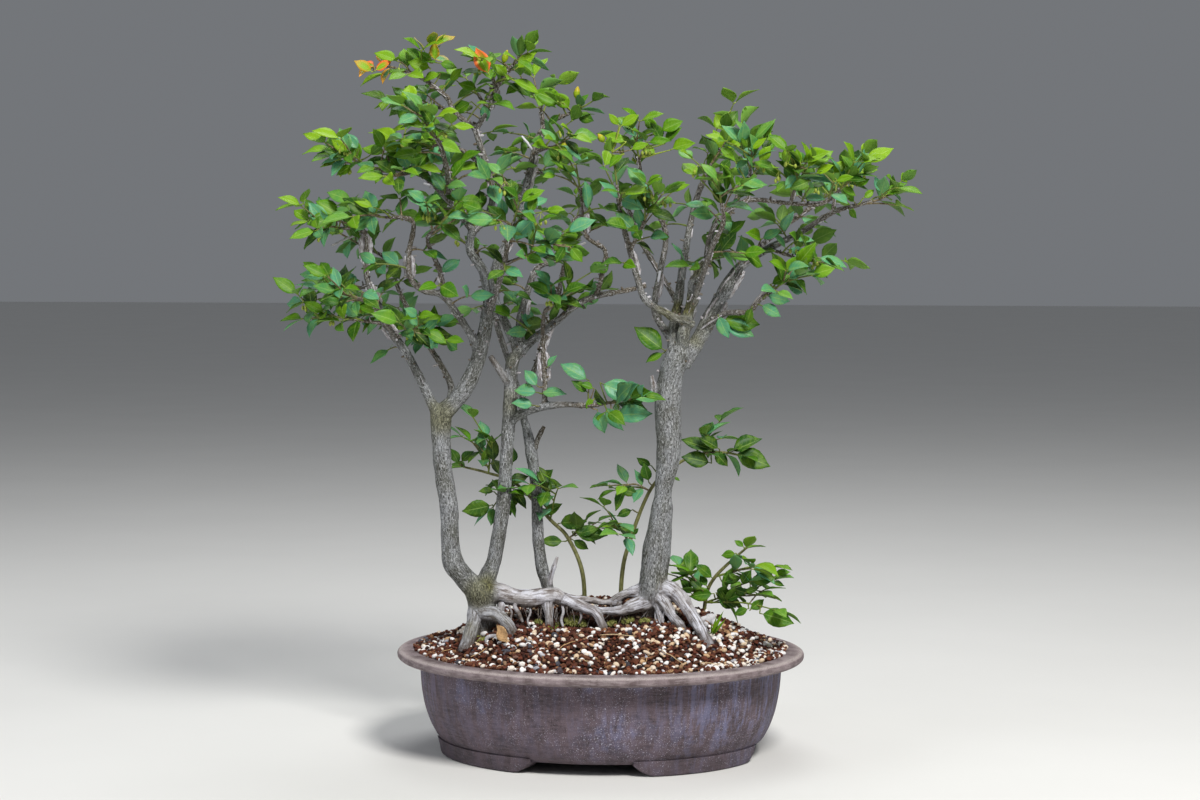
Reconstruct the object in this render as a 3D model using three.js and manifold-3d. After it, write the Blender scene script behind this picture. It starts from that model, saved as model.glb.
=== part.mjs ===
// Winged euonymus bonsai: four bare trunks on joined surface roots, with suckers, in an oval clay pot.
// Millimetres, +Z up, the pot's long axis along X, standing on the plane z = 0.
// Plant points are written as they line up from the front, from an eye EYE_DISTANCE before the pot:
// x to the right, y into the depth, z up, and a fourth number for the diameter of the wood there.
import * as THREE from "three";
import { mergeVertices } from "three/addons/utils/BufferGeometryUtils.js";
import Module from "manifold-3d";

const wasm = await Module();
wasm.setup();

// Driving dimensions
const RIM_HALF_LENGTH = 205.5;
const RIM_HALF_DEPTH = 175;
const POT_HEIGHT = 105;
const FLOOR_UNDERSIDE = 12;
const FLOOR_TOP = 21;
const POT_SIDES = 28;
const WALL_INSET = 34;
const FOOT_OUTER_INSET = 41;
const FOOT_WIDTH = 24;
const FOOT_FROM_DEG = 13;
const FOOT_TO_DEG = 72;
const DRAIN_HOLE_DIAMETER = 28;
const DRAIN_HOLE_OFFSET = 75;
const SCREEN_SIDE = 37;
const SCREEN_THICKNESS = 1.2;
const SCREEN_OPENING = 8;
const SCREEN_BAR = 3;
const WIRE_DIAMETER = 1.4;
const GAP = 0.35;
const EYE_DISTANCE = 2500;
const EYE_HEIGHT = 525;
const FRONT_TURN_DEG = 8;
const SOIL_EDGE = 102;
const SOIL_RISE = 48;
const SOIL_CREST_Y = 40;
const BLADE_THICKNESS = 0.7;
const LEAF_LENGTH = 27;
const WING_THICKNESS = 1.3;
const TWIG_END_DIAMETER = 2.9;
const ROOT_SIDES = 5;
const SUCKER_SIDES = 5;

// Colour, roughness and metalness of each finish
const FINISHES = {
  clay: [0x7a6660, 0.8, 0],
  soil: [0x7b5541, 0.95, 0],
  bark: [0x8f8676, 0.85, 0],
  leaf: [0x5c9a2b, 0.45, 0],
  mesh: [0x2b2d30, 0.6, 0],
  wire: [0x8a6a4a, 0.4, 0.9],
};

// Trunks and limbs, root end first
const LIMBS = {
  burl: [[-116, 8, 110, 26], [-117, 6, 132, 25], [-119, 3, 150, 28], [-121, 2, 162, 31], [-122, 1, 172, 27]],
  trunkA: [
    [-118, 2, 154, 22], [-128, 0, 166, 22], [-139, -2, 178, 20], [-148, -3, 191, 20],
    [-151, -4, 215, 18], [-152, -5, 248, 18], [-158, -7, 290, 18], [-160, -9, 345, 20],
  ],
  trunkB: [
    [-118, 3, 156, 22], [-113, 6, 176, 17.5], [-106, 7, 196, 14.5], [-97, 8, 252, 14],
    [-94, 8, 298, 12.5], [-90, 8, 350, 13.5], [-88, 8, 390, 12.5], [-80, 8, 406, 11],
  ],
  trunkC: [
    [-52, 30, 118, 15], [-52, 30, 160, 12], [-58, 30, 184, 12], [-62, 30, 212, 11.5],
    [-64, 30, 262, 11], [-69, 31, 302, 11.5], [-75, 36, 332, 8],
  ],
  trunkD: [
    [54, 12, 110, 15], [54, 7, 140, 18], [53, 0, 162, 27], [57, 0, 200, 28], [62, 0, 240, 22],
    [64, 0, 264, 16.5], [69, 0, 304, 24], [68, 0, 348, 26], [71, 0, 380, 24], [77, 0, 397, 24],
    [78, 0, 408, 18],
  ],
  a1: [
    [-160, -9, 340, 18], [-146, -10, 353, 17], [-134, -11, 368, 16.5], [-124, -12, 390, 15],
    [-116, -14, 420, 13.5], [-111, -17, 454, 12], [-116, -19, 482, 9.5], [-130, -20, 505, 8],
    [-126, -20, 527, 8],
  ],
  a2: [
    [-160, -9, 338, 14], [-169, -12, 352, 10], [-180, -15, 375, 9], [-193, -18, 400, 8.5],
    [-205, -21, 417, 8], [-215, -24, 431, 7.5], [-221, -27, 448, 7], [-231, -30, 470, 6],
    [-234, -31, 488, 5.5], [-235, -32, 522, 5],
  ],
  a3: [
    [-153, -7, 344, 10], [-149, 4, 366, 7], [-156, 14, 384, 6], [-167, 24, 402, 5.5],
    [-184, 44, 430, 5], [-200, 62, 462, 4.5], [-212, 74, 494, 4],
  ],
  a4: [
    [-122, -12, 402, 9], [-132, -22, 424, 7.5], [-156, -40, 458, 6.5], [-176, -46, 464, 6],
    [-189, -50, 476, 5.5], [-191, -53, 500, 5], [-187, -55, 533, 4.5],
  ],
  a4Up: [[-155, -40, 456, 5.5], [-160, -44, 484, 5], [-172, -50, 514, 4]],
  a5Front: [[-113, -16, 440, 7], [-104, -44, 462, 6], [-96, -68, 490, 5.5], [-91, -86, 518, 4.5]],
  a6Front: [[-205, -21, 416, 6], [-214, -50, 432, 5.5], [-227, -76, 452, 4.5]],
  vLeft: [
    [-127, -20, 524, 7.5], [-150, -26, 553, 6.5], [-169, -30, 573, 6], [-182, -32, 583, 5.5],
    [-224, -37, 584, 4],
  ],
  vFront: [[-150, -26, 552, 5.5], [-152, -54, 580, 5], [-158, -76, 606, 4.5]],
  vRight: [
    [-126, -20, 523, 7], [-112, -17, 538, 7], [-107, -12, 559, 6.5], [-112, -6, 586, 6],
    [-125, 0, 627, 6],
  ],
  topLeft: [[-124, 0, 625, 5.5], [-145, -4, 642, 5], [-153, -6, 657, 5], [-180, -9, 677, 4]],
  topRight: [[-124, 0, 624, 5.5], [-111, 4, 644, 5.5], [-103, 6, 666, 5.5], [-90, 8, 684, 4]],
  bLeft: [
    [-82, 8, 404, 9], [-96, 11, 434, 8.5], [-105, 14, 458, 8.5], [-103, 15, 490, 9],
    [-82, 14, 531, 8.5], [-76, 14, 554, 8], [-66, 17, 602, 6], [-58, 19, 624, 5], [-44, 22, 634, 4],
  ],
  bLeftInner: [[-77, 14, 553, 6], [-97, 12, 568, 5], [-134, 8, 602, 4]],
  bBack: [[-76, 14, 552, 6], [-70, 44, 580, 5], [-62, 70, 606, 4.5], [-57, 86, 632, 4]],
  bMiddle: [
    [-80, 8, 400, 10], [-80, 9, 432, 8], [-74, 10, 458, 7], [-62, 10, 487, 6], [-38, 10, 496, 4.5],
  ],
  bDiagonal: [
    [-81, 8, 400, 9], [-66, 5, 416, 8], [-46, 0, 431, 7], [-26, -6, 448, 6.5], [-6, -13, 458, 6],
    [30, -22, 465, 4.5], [46, -26, 469, 4],
  ],
  bRiser: [
    [-4, -13, 457, 5], [2, -16, 480, 4.5], [5, -17, 504, 4.5], [-14, -15, 519, 4], [-17, -15, 549, 4],
  ],
  bSide: [
    [-91, 7, 332, 9], [-76, 2, 342, 8.5], [-56, -6, 348, 8], [-34, -15, 350, 6], [-12, -22, 349, 5],
  ],
  bSideRiser: [[-56, -6, 346, 6], [-55, -8, 372, 5], [-57, -9, 404, 5], [-56, -9, 440, 4]],
  bStub: [[-89, 8, 366, 9], [-98, 2, 380, 7], [-110, -5, 399, 6]],
  cLeft: [
    [-75, 36, 329, 7.5], [-82, 50, 362, 7], [-95, 64, 404, 6.5], [-110, 75, 452, 6],
    [-124, 84, 504, 5.5], [-140, 90, 566, 4.5],
  ],
  cRight: [[-80, 45, 352, 6], [-62, 66, 395, 5.5], [-45, 82, 444, 5], [-30, 94, 522, 4]],
  cStub: [[-68, 31, 300, 7], [-62, 30, 316, 5], [-56, 30, 328, 4]],
  cDeadStub: [[-52, 28, 166, 6], [-47, 24, 184, 4.5], [-43, 22, 196, 3]],
  d1: [
    [75, 0, 390, 13], [73, 4, 420, 10], [78, 8, 452, 9], [84, 12, 496, 7.5], [92, 18, 540, 6],
    [100, 22, 566, 5.5],
  ],
  d2: [
    [79, 0, 394, 13], [84, -4, 422, 11], [91, -9, 454, 9], [94, -13, 474, 8.5], [107, -17, 494, 8],
    [130, -23, 513, 6],
  ],
  d2Up: [
    [106, -17, 492, 6], [110, -22, 518, 6], [122, -26, 539, 5.5], [148, -30, 554, 4.5],
    [190, -32, 551, 4], [222, -33, 551, 4],
  ],
  d3: [
    [82, 2, 390, 17], [98, 6, 414, 15], [107, 8, 431, 14.5], [121, 10, 457, 13.5], [140, 12, 488, 10],
    [168, 13, 506, 7.5], [200, 14, 522, 6], [232, 14, 542, 5], [256, 12, 549, 4],
  ],
  d4: [
    [94, -5, 430, 8], [68, -16, 441, 7], [46, -24, 454, 7], [37, -27, 478, 6.5], [30, -28, 504, 6],
    [21, -28, 538, 4.5],
  ],
  d5: [
    [74, 3, 412, 9], [57, 10, 437, 7], [55, 14, 456, 6.5], [60, 17, 482, 6.5], [65, 19, 524, 5.5],
    [44, 22, 568, 4.5],
  ],
  d6: [[102, 6, 424, 8], [124, -6, 441, 6], [148, -18, 443, 5], [160, -26, 455, 4.5]],
  dBack: [[73, 2, 366, 10], [80, 28, 412, 8], [92, 52, 452, 7], [108, 72, 495, 6], [138, 92, 560, 4.5]],
  dBackLeft: [[87, 42, 436, 6.5], [62, 66, 478, 5.5], [40, 82, 515, 5], [28, 90, 545, 4.5]],
  dFront: [[90, -8, 444, 7], [102, -38, 478, 6], [112, -62, 508, 5.5], [123, -80, 532, 4.5]],
  dRightBack: [[138, 12, 484, 7], [160, 40, 508, 5.5], [184, 62, 528, 5], [206, 76, 544, 4.5]],
  dDeadStub: [[64, 0, 344, 11], [55, -2, 362, 7], [52, -2, 379, 4]],
};

// Surface roots, trunk end first
const ROOTS = {
  leftLeg: [
    [-121, 2, 152, 22], [-125, -2, 141, 15.5], [-127, -9, 130, 13], [-131, -18, 118, 13.5],
    [-136, -25, 98, 15],
  ],
  level: [
    [-124, -2, 144, 14], [-114, -8, 139, 14], [-104, -14, 137, 13.5], [-96, -20, 131, 11],
    [-88, -27, 121, 10], [-80, -33, 98, 10],
  ],
  levelStub: [[-102, -13, 136, 8], [-100, -14, 143, 6.5], [-99, -14, 150, 5.5]],
  joining: [
    [-114, 2, 159, 26], [-102, 2, 160, 18.5], [-88, 1, 156, 14.5], [-74, 0, 154, 14], [-60, 0, 155, 15],
    [-48, 0, 157, 15], [-38, -2, 154, 12],
  ],
  joiningDown: [[-53, 0, 153, 12], [-52, -6, 140, 9.5], [-51, -10, 128, 8], [-51, -14, 104, 7]],
  lower: [
    [-48, 2, 160, 11], [-38, -2, 154, 12], [-27, -5, 149, 11.5], [-14, -9, 144, 10.5], [-4, -13, 139, 9.5],
    [3, -18, 126, 8.5], [8, -22, 104, 8],
  ],
  upper: [[-40, 2, 157, 8], [-24, 6, 154, 7], [-8, 8, 152, 6.5], [6, 8, 150, 6.5], [22, 5, 149, 7]],
  mass: [[-14, -8, 144, 7.5], [4, -9, 141.5, 7], [20, -8, 142, 9.5], [34, -6, 146, 14], [48, -3, 151, 17]],
  bridge: [[54, 0, 168, 22], [41, 2, 163, 13], [30, 4, 160, 10], [20, 6, 156, 9], [13, 8, 152, 6.5]],
  rightFront: [
    [56, -2, 164, 20], [70, -7, 163, 17], [79, -13, 157, 14.5], [86, -20, 148, 13], [95, -30, 134, 12.5],
    [104, -42, 118, 12], [114, -54, 94, 11],
  ],
  rightInner: [
    [58, -5, 158, 16], [66, -13, 148, 11], [72, -19, 138, 9.5], [79, -26, 128, 9], [86, -32, 118, 8],
    [92, -37, 98, 7],
  ],
  thin: [[56, -6, 152, 9], [60, -12, 138, 5.5], [61, -16, 126, 4.5], [62, -19, 104, 4]],
  behind: [[-54, 32, 152, 11], [-52, 18, 156, 10.5], [-50, 4, 157, 11]],
  leftBack: [[-118, 8, 148, 14], [-120, 28, 142, 11], [-123, 48, 130, 9.5], [-126, 62, 98, 9]],
  rightBack: [[56, 8, 150, 15], [68, 34, 148, 11], [80, 56, 106, 9]],
};

// Stretches of corky wings: limb, first and last point, height and how many ridges
const WINGS = [
  ["a2", 8, 9, 5.5, 3], ["a2", 6, 7, 3, 2], ["a4", 4, 5, 4, 2], ["vLeft", 2, 3, 5, 2],
  ["topRight", 1, 2, 3.5, 2],
  ["bLeft", 5, 6, 3.5, 1], ["bRiser", 3, 4, 4, 2], ["bSideRiser", 1, 2, 4.5, 2],
  ["bMiddle", 1, 2, 3.5, 1],
  ["d2", 3, 4, 3, 1], ["d3", 2, 3, 3.5, 1], ["cRight", 1, 2, 3, 2], ["dBack", 1, 2, 3.5, 2],
];

// Leafy sprays: limb, its point, the tip of the green shoot, leaf pairs and leaf size
const SPRAYS = [
  ["a2", 5, [-298, -28, 436], 3, 0.95],
  ["a2", 6, [-282, -44, 466], 2, 1],
  ["a2", 7, [-262, 8, 452], 2, 0.9],
  ["a6Front", 2, [-262, -98, 462], 2, 0.95],
  ["a2", 4, [-176, -62, 424], 2, 0.9],
  ["a3", 3, [-176, -4, 424], 2, 0.9],
  ["a2", 9, [-290, -36, 534], 2, 1.15],
  ["a4", 6, [-246, -64, 546], 2, 1],
  ["a3", 6, [-258, 86, 520], 2, 1],
  ["a3", 4, [-236, 60, 442], 2, 0.9],
  ["vLeft", 4, [-266, -38, 598], 2, 0.95],
  ["vLeft", 3, [-214, -80, 578], 2, 1],
  ["vLeft", 2, [-208, 4, 616], 2, 1],
  ["vFront", 2, [-176, -100, 642], 2, 1],
  ["topLeft", 3, [-224, -12, 686], 2, 0.9],
  ["topLeft", 3, [-166, -16, 706], 2, 1],
  ["topLeft", 1, [-198, 36, 652], 2, 1],
  ["topRight", 3, [-72, 2, 700], 2, 1.05],
  ["topRight", 2, [-118, -34, 694], 2, 1],
  ["topRight", 1, [-134, 52, 676], 2, 1],
  ["bLeft", 8, [-8, 18, 652], 2, 0.95],
  ["bBack", 3, [-66, 98, 676], 2, 1],
  ["bLeft", 6, [-30, -14, 616], 2, 1],
  ["bLeftInner", 2, [-182, -34, 612], 2, 0.95],
  ["bBack", 1, [-24, 66, 590], 2, 1],
  ["bRiser", 4, [-24, -46, 590], 2, 0.95],
  ["a5Front", 3, [-80, -106, 552], 2, 1.1],
  ["a5Front", 2, [-52, -88, 512], 2, 1.2],
  ["a4Up", 2, [-154, -86, 538], 2, 1],
  ["bMiddle", 4, [-16, 26, 524], 2, 0.9],
  ["bSideRiser", 3, [-36, -32, 462], 2, 0.95],
  ["cLeft", 5, [-164, 102, 606], 2, 1],
  ["cLeft", 4, [-172, 98, 536], 2, 1],
  ["cRight", 3, [-14, 106, 556], 2, 1],
  ["bSide", 4, [30, -34, 356], 3, 1.3],
  ["d3", 8, [290, 8, 560], 2, 1.2],
  ["d3", 7, [238, 44, 580], 2, 1],
  ["d2Up", 5, [262, -40, 580], 2, 0.95],
  ["d2Up", 4, [200, -66, 592], 2, 1],
  ["d2Up", 3, [152, -38, 614], 2, 1.05],
  ["d1", 5, [124, 26, 622], 2, 1],
  ["d5", 5, [32, 16, 624], 2, 0.95],
  ["d4", 5, [12, -30, 602], 2, 0.95],
  ["d4", 4, [62, -62, 560], 2, 1],
  ["dFront", 3, [118, -108, 574], 2, 1],
  ["dBack", 4, [150, 104, 612], 2, 1],
  ["dBackLeft", 3, [4, 104, 588], 2, 1],
  ["dRightBack", 3, [244, 92, 574], 2, 1],
  ["d6", 3, [196, -40, 478], 2, 1.05],
  ["d3", 5, [224, -14, 492], 2, 1],
];

// A point given from the front, moved along its sight line to its depth, then turned to the pot's axes.
function place([x, y, z]) {
  const spread = 1 + y / EYE_DISTANCE;
  const turn = THREE.MathUtils.degToRad(FRONT_TURN_DEG);
  return new THREE.Vector3(x * spread, y, EYE_HEIGHT + (z - EYE_HEIGHT) * spread)
    .applyAxisAngle(new THREE.Vector3(0, 0, 1), turn);
}

// A number from 0 to 1 that depends only on the three keys.
function chance(i, j, k) {
  const wave = Math.sin(12.9898 * i + 78.233 * j + 37.719 * k + 4.1414) * 43758.5453;
  return wave - Math.floor(wave);
}

// A closed surface through rings of points, each counter-clockwise about the way of travel.
function skin(rings) {
  const count = rings[0].length;
  const triangles = [];
  for (let i = 0; i + 1 < rings.length; i++) {
    for (let j = 0; j < count; j++) {
      const a = i * count + j;
      const b = i * count + ((j + 1) % count);
      triangles.push(a, b, b + count, a, b + count, a + count);
    }
  }
  const last = (rings.length - 1) * count;
  for (let k = 1; k + 1 < count; k++) triangles.push(0, k + 1, k, last, last + k, last + k + 1);
  return geometryFrom(rings.flat(), triangles);
}

function geometryFrom(points, triangles) {
  return new THREE.BufferGeometry().setFromPoints(points).setIndex(triangles);
}

function solidOf(geometry) {
  const position = new THREE.BufferGeometry()
    .setAttribute("position", geometry.getAttribute("position"))
    .setIndex(geometry.getIndex());
  const merged = mergeVertices(position, 1e-4);
  return new wasm.Manifold(new wasm.Mesh({
    numProp: 3,
    vertProperties: merged.getAttribute("position").array,
    triVerts: new Uint32Array(merged.getIndex().array),
  }));
}

function geometryOf(solid) {
  const mesh = solid.getMesh();
  const positions = new Float32Array(mesh.numVert * 3);
  for (let i = 0; i < mesh.numVert; i++) {
    positions.set(mesh.vertProperties.subarray(i * mesh.numProp, i * mesh.numProp + 3), i * 3);
  }
  return new THREE.BufferGeometry()
    .setAttribute("position", new THREE.BufferAttribute(positions, 3))
    .setIndex(new THREE.BufferAttribute(new Uint32Array(mesh.triVerts), 1));
}

function joined(solids) {
  return solids.reduce((whole, solid) => whole.add(solid));
}

// Frames along a route: the tangent at each point and two cross directions that turn as little as can be.
function frames(points) {
  const tangents = points.map((point, i) => {
    const before = points[Math.max(i - 1, 0)];
    const after = points[Math.min(i + 1, points.length - 1)];
    return after.clone().sub(before).normalize();
  });
  const start = Math.abs(tangents[0].z) < 0.8 ? new THREE.Vector3(0, 0, 1) : new THREE.Vector3(0, -1, 0);
  let side = start;
  return tangents.map((tangent) => {
    side = side.clone().addScaledVector(tangent, -side.dot(tangent)).normalize();
    return { tangent, side, across: tangent.clone().cross(side) };
  });
}

// A tapered, faceted stem through points with diameters, or the part of it between two of its points.
function stem(points, diameters, sides, first = 0, last = points.length) {
  const rings = frames(points).map(({ side, across }, i) => {
    const ring = [];
    for (let j = 0; j < sides; j++) {
      const angle = (2 * Math.PI * j) / sides;
      ring.push(points[i].clone()
        .addScaledVector(side, (diameters[i] / 2) * Math.cos(angle))
        .addScaledVector(across, (diameters[i] / 2) * Math.sin(angle)));
    }
    return ring;
  });
  return solidOf(skin(rings.slice(first, last)));
}

// The spray that goes on from a limb's last point, if one does
function endSpray(name) {
  return SPRAYS.findIndex(([limb, point]) => limb === name && point === LIMBS[name].length - 1);
}

// A limb through its points, and on to the flat end where its last spray begins
function limb(name) {
  const route = LIMBS[name];
  const points = route.map(place);
  const diameters = route.map((point) => point[3]);
  const index = endSpray(name);
  if (index >= 0) {
    points.push(twigAndShoot(SPRAYS[index], index).twig[1]);
    diameters.push(TWIG_END_DIAMETER);
  }
  return stem(points, diameters, limbSides(route));
}

function limbSides(route) {
  const thick = route[0][3];
  return thick > 20 ? 8 : thick > 14 ? 6 : thick > 9.5 ? 5 : 4;
}

// A thin corky ridge along a stretch of a limb, lower at both its ends.
function wing(from, to, radius, height, angle) {
  const stations = [0.06, 0.4, 0.94];
  const rises = [0.3, 1, 0.35];
  const points = stations.map((share) => from.clone().lerp(to, share));
  const rings = frames(points).map(({ side, across }, i) => {
    const out = side.clone().multiplyScalar(Math.cos(angle)).addScaledVector(across, Math.sin(angle));
    const flank = across.clone().multiplyScalar(Math.cos(angle)).addScaledVector(side, -Math.sin(angle));
    const corner = (reach, half) =>
      points[i].clone().addScaledVector(out, reach).addScaledVector(flank, half);
    const top = radius + height * rises[i];
    const foot = radius * 0.4;
    const half = WING_THICKNESS / 2;
    return [corner(top, -half), corner(top, half), corner(foot, half), corner(foot, -half)];
  });
  return solidOf(skin(rings));
}

function limbWings([name, first, last, height, ridges]) {
  const route = LIMBS[name];
  const radius = (route[first][3] + route[last][3]) / 4;
  const turn = chance(first, height, ridges) * Math.PI;
  return Array.from({ length: ridges }, (_, k) =>
    wing(place(route[first]), place(route[last]), radius, height, turn + (2 * Math.PI * k) / ridges));
}

// The twig from a limb's point and the green shoot that goes on from its flat end to the tip.
function twigAndShoot(row, index) {
  const [limb, point, tip] = row;
  const start = place(LIMBS[limb][point]);
  const end = place(tip);
  const along = end.clone().sub(start);
  const length = along.length();
  const up = new THREE.Vector3(0, 0, 1);
  const joint = start.clone().addScaledVector(along, 0.46);
  joint.addScaledVector(up, length * 0.1 * (chance(index, 1, 1) - 0.4));
  const way = joint.clone().sub(start).normalize();
  const bend = joint.clone().addScaledVector(way, length * 0.16);
  const shootStart = joint.clone().addScaledVector(way, GAP);
  return { twig: [start, joint], shoot: [shootStart, bend, end] };
}

// One leaf blade: a pointed ellipse folded a little along its midrib and arched to its tip.
function blade(base, along, normal, length) {
  const width = length * 0.5;
  const flank = normal.clone().cross(along).normalize();
  const at = (share, half, lift) => base.clone()
    .addScaledVector(along, share * length)
    .addScaledVector(flank, half * width)
    .addScaledVector(normal, (lift - 0.13 * share * share) * length);
  const half = normal.clone().multiplyScalar(BLADE_THICKNESS / 2);
  const thick = [at(0.38, 0.5, 0.05), at(0.38, -0.5, 0.05), at(0.6, 0, -0.03)];
  const points = [
    at(0.01, 0, 0), at(1, 0, 0), at(0.72, 0.42, 0.04), at(0.72, -0.42, 0.04),
    ...thick.map((p) => p.clone().add(half)), ...thick.map((p) => p.clone().sub(half)),
  ];
  const upper = [[0, 5, 4], [5, 6, 4], [4, 6, 2], [2, 6, 1], [1, 6, 3], [3, 6, 5]];
  const under = (corner) => (corner < 4 ? corner : corner + 3);
  const rims = [[0, 4, 7], [4, 2, 7], [3, 5, 8], [5, 0, 8]];
  const lower = upper.map(([a, b, c]) => [under(a), under(c), under(b)]);
  return solidOf(geometryFrom(points, [...upper, ...lower, ...rims].flat()));
}

// The point at a share of a route's length, and the way it runs there.
function alongRoute(points, share) {
  const lengths = points.slice(1).map((point, i) => point.distanceTo(points[i]));
  let rest = share * lengths.reduce((sum, length) => sum + length);
  let i = 0;
  while (i + 1 < lengths.length && rest > lengths[i]) rest -= lengths[i++];
  const node = points[i].clone().lerp(points[i + 1], rest / lengths[i]);
  return { node, tangent: points[i + 1].clone().sub(points[i]).normalize() };
}

// Opposite leaf pairs along a shoot, each pair turned across the one before, the last at the tip.
function leafPairs(shoot, pairs, size, key) {
  const up = new THREE.Vector3(0, 0, 1);
  const leaves = [];
  for (let pair = 0; pair < pairs; pair++) {
    const share = pairs === 1 ? 0.97 : 0.3 + (0.67 * pair) / (pairs - 1);
    const { node, tangent } = alongRoute(shoot, share);
    const level = tangent.clone().cross(up).normalize();
    const rise = level.clone().cross(tangent).normalize();
    const roll = (pairs - 1 - pair) % 2 ? 0.9 : 0.25;
    const spin = roll + 0.5 * (chance(key, pair, 3) - 0.5);
    const across = level.clone().multiplyScalar(Math.cos(spin)).addScaledVector(rise, Math.sin(spin));
    const open = pair === pairs - 1 ? 0.72 : 0.98;
    for (const hand of [1, -1]) {
      const angle = open + 0.3 * (chance(key, pair, 5 + hand) - 0.5);
      const along = tangent.clone().multiplyScalar(Math.cos(angle));
      along.addScaledVector(across, hand * Math.sin(angle));
      along.addScaledVector(up, 0.12 - 0.3 * chance(key, pair, 8 + hand)).normalize();
      const lean = up.clone().addScaledVector(tangent, 0.5 * (chance(key, pair, 11 + hand) - 0.3));
      lean.addScaledVector(across, hand * 0.7 * (chance(key, pair, 14 + hand) - 0.5));
      const normal = lean.addScaledVector(along, -lean.dot(along)).normalize();
      const length = LEAF_LENGTH * size * (0.85 + 0.3 * chance(key, pair, 17 + hand));
      leaves.push(blade(node, along, normal, length));
    }
  }
  return leaves;
}

function spray(row, index) {
  const { shoot } = twigAndShoot(row, index);
  return joined([stem(shoot, [3, 2.6, 2.3], 3), ...leafPairs(shoot, row[3], row[4], index)]);
}

// Leafy stems that rise from the soil, with side shoots written as start point, tip, pairs and size
const SUCKERS = {
  sucker_behind: {
    stem: [
      [-16, 34, 112, 5], [-17, 36, 176, 4.5], [-32, 46, 215, 4], [-50, 48, 234, 3.8],
      [-84, 47, 270, 3.2], [-112, 46, 281, 2.8], [-136, 44, 287, 2.2],
    ],
    pairs: 2,
    size: 0.9,
    shoots: [
      [2, [-2, 46, 226], 2, 1], [3, [-42, 20, 266], 1, 1.1], [4, [-108, 30, 246], 2, 0.9],
      [5, [-108, 30, 312], 1, 0.9],
    ],
  },
  sucker_middle: {
    stem: [
      [20, 26, 112, 5], [22, 26, 176, 4.5], [30, 26, 212, 4.2], [50, 29, 263, 3.6], [72, 30, 286, 3.2],
      [96, 26, 299, 2.8], [122, 20, 302, 2.4], [144, 14, 298, 2],
    ],
    pairs: 3,
    size: 1.05,
    shoots: [[2, [10, 18, 228], 1, 0.7], [3, [24, 12, 268], 2, 0.8], [5, [106, 18, 318], 1, 1]],
  },
  sprout_right: {
    stem: [[104, 30, 100, 4.5], [106, 28, 150, 4], [116, 26, 176, 3.5], [148, 18, 206, 2.4]],
    pairs: 1,
    size: 0.8,
    shoots: [
      [1, [158, 6, 158], 2, 1], [1, [92, 12, 178], 1, 0.95], [1, [178, -16, 142], 2, 1],
      [2, [176, 12, 186], 2, 0.9],
    ],
  },
};

function sucker({ stem: route, pairs, size, shoots }, key) {
  const points = route.map(place);
  const parts = [stem(points, route.map((point) => point[3]), SUCKER_SIDES)];
  parts.push(...leafPairs(points.slice(-3), pairs, size, key));
  shoots.forEach(([start, tip, shootPairs, shootSize], k) => {
    const end = place(tip);
    const middle = points[start].clone().lerp(end, 0.55).add(new THREE.Vector3(0, 0, 4));
    const shoot = [points[start], middle, end];
    parts.push(stem(shoot, [2.9, 2.5, 2.2], 3), ...leafPairs(shoot, shootPairs, shootSize, key + k + 1));
  });
  return joined(parts);
}

function root(route) {
  return stem(route.map(place), route.map((point) => point[3]), ROOT_SIDES);
}

// Wood: trunks, limbs, roots, twigs and wings grown as one piece
function wood() {
  const parts = Object.keys(LIMBS).map(limb);
  parts.push(...Object.values(ROOTS).map(root));
  parts.push(...WINGS.flatMap(limbWings));
  SPRAYS.forEach((row, index) => {
    if (endSpray(row[0]) === index) return;
    const { twig } = twigAndShoot(row, index);
    parts.push(stem(twig, [Math.min(LIMBS[row[0]][row[1]][3] * 0.8, 3.8), TWIG_END_DIAMETER], 3));
  });
  return joined(parts);
}

// The oval ring at an inset from the rim's outer edge
function oval(inset, z, from = 0, to = 360, steps = POT_SIDES) {
  const full = to - from === 360;
  return Array.from({ length: full ? steps : steps + 1 }, (_, j) => {
    const angle = THREE.MathUtils.degToRad(from + ((to - from) * j) / steps);
    return new THREE.Vector3(
      (RIM_HALF_LENGTH - inset) * Math.cos(angle), (RIM_HALF_DEPTH - inset) * Math.sin(angle), z,
    );
  });
}

// Inset and height of the pot's wall: underside, outer wall, lip, inner wall, floor
const POT_PROFILE = [
  [47, FLOOR_UNDERSIDE], [40, 17], [33, 30], [27.5, 46], [24, 66], [22.5, 90], [20, 93],
  [3, 94.5], [0, 97],
  [0, 101.5], [3.5, 104], [16.5, POT_HEIGHT], [21, 103], [26, 98], [30.5, 90], [WALL_INSET, 66],
  [39, 35], [53, FLOOR_TOP],
];

// Inset and height of the soil's side, a little inside the wall
const SOIL_PROFILE = [
  [53.5, FLOOR_TOP + GAP], [39.5, 35.3], [34.4, 66], [30.9, 90], [26.5, 98], [22.5, SOIL_EDGE],
];

function foot(quadrant) {
  const mirror = quadrant % 2 ? [180 - FOOT_TO_DEG, 180 - FOOT_FROM_DEG] : [FOOT_FROM_DEG, FOOT_TO_DEG];
  const turn = quadrant > 1 ? 180 : 0;
  const inner = FOOT_OUTER_INSET + FOOT_WIDTH;
  const edges = [[inner, 16], [FOOT_OUTER_INSET, 16], [FOOT_OUTER_INSET + 3, 0], [inner + 2, 0]];
  const steps = 4;
  const arcs = edges.map(([inset, z]) => {
    const spread = z === 0 ? 2 : 0;
    return oval(inset, z, mirror[0] + turn + spread, mirror[1] + turn - spread, steps);
  });
  const rings = arcs[0].map((_, i) => arcs.map((arc) => arc[i]));
  return solidOf(skin(rings));
}

function drainX(number) {
  return number === 1 ? -DRAIN_HOLE_OFFSET : DRAIN_HOLE_OFFSET;
}

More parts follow.
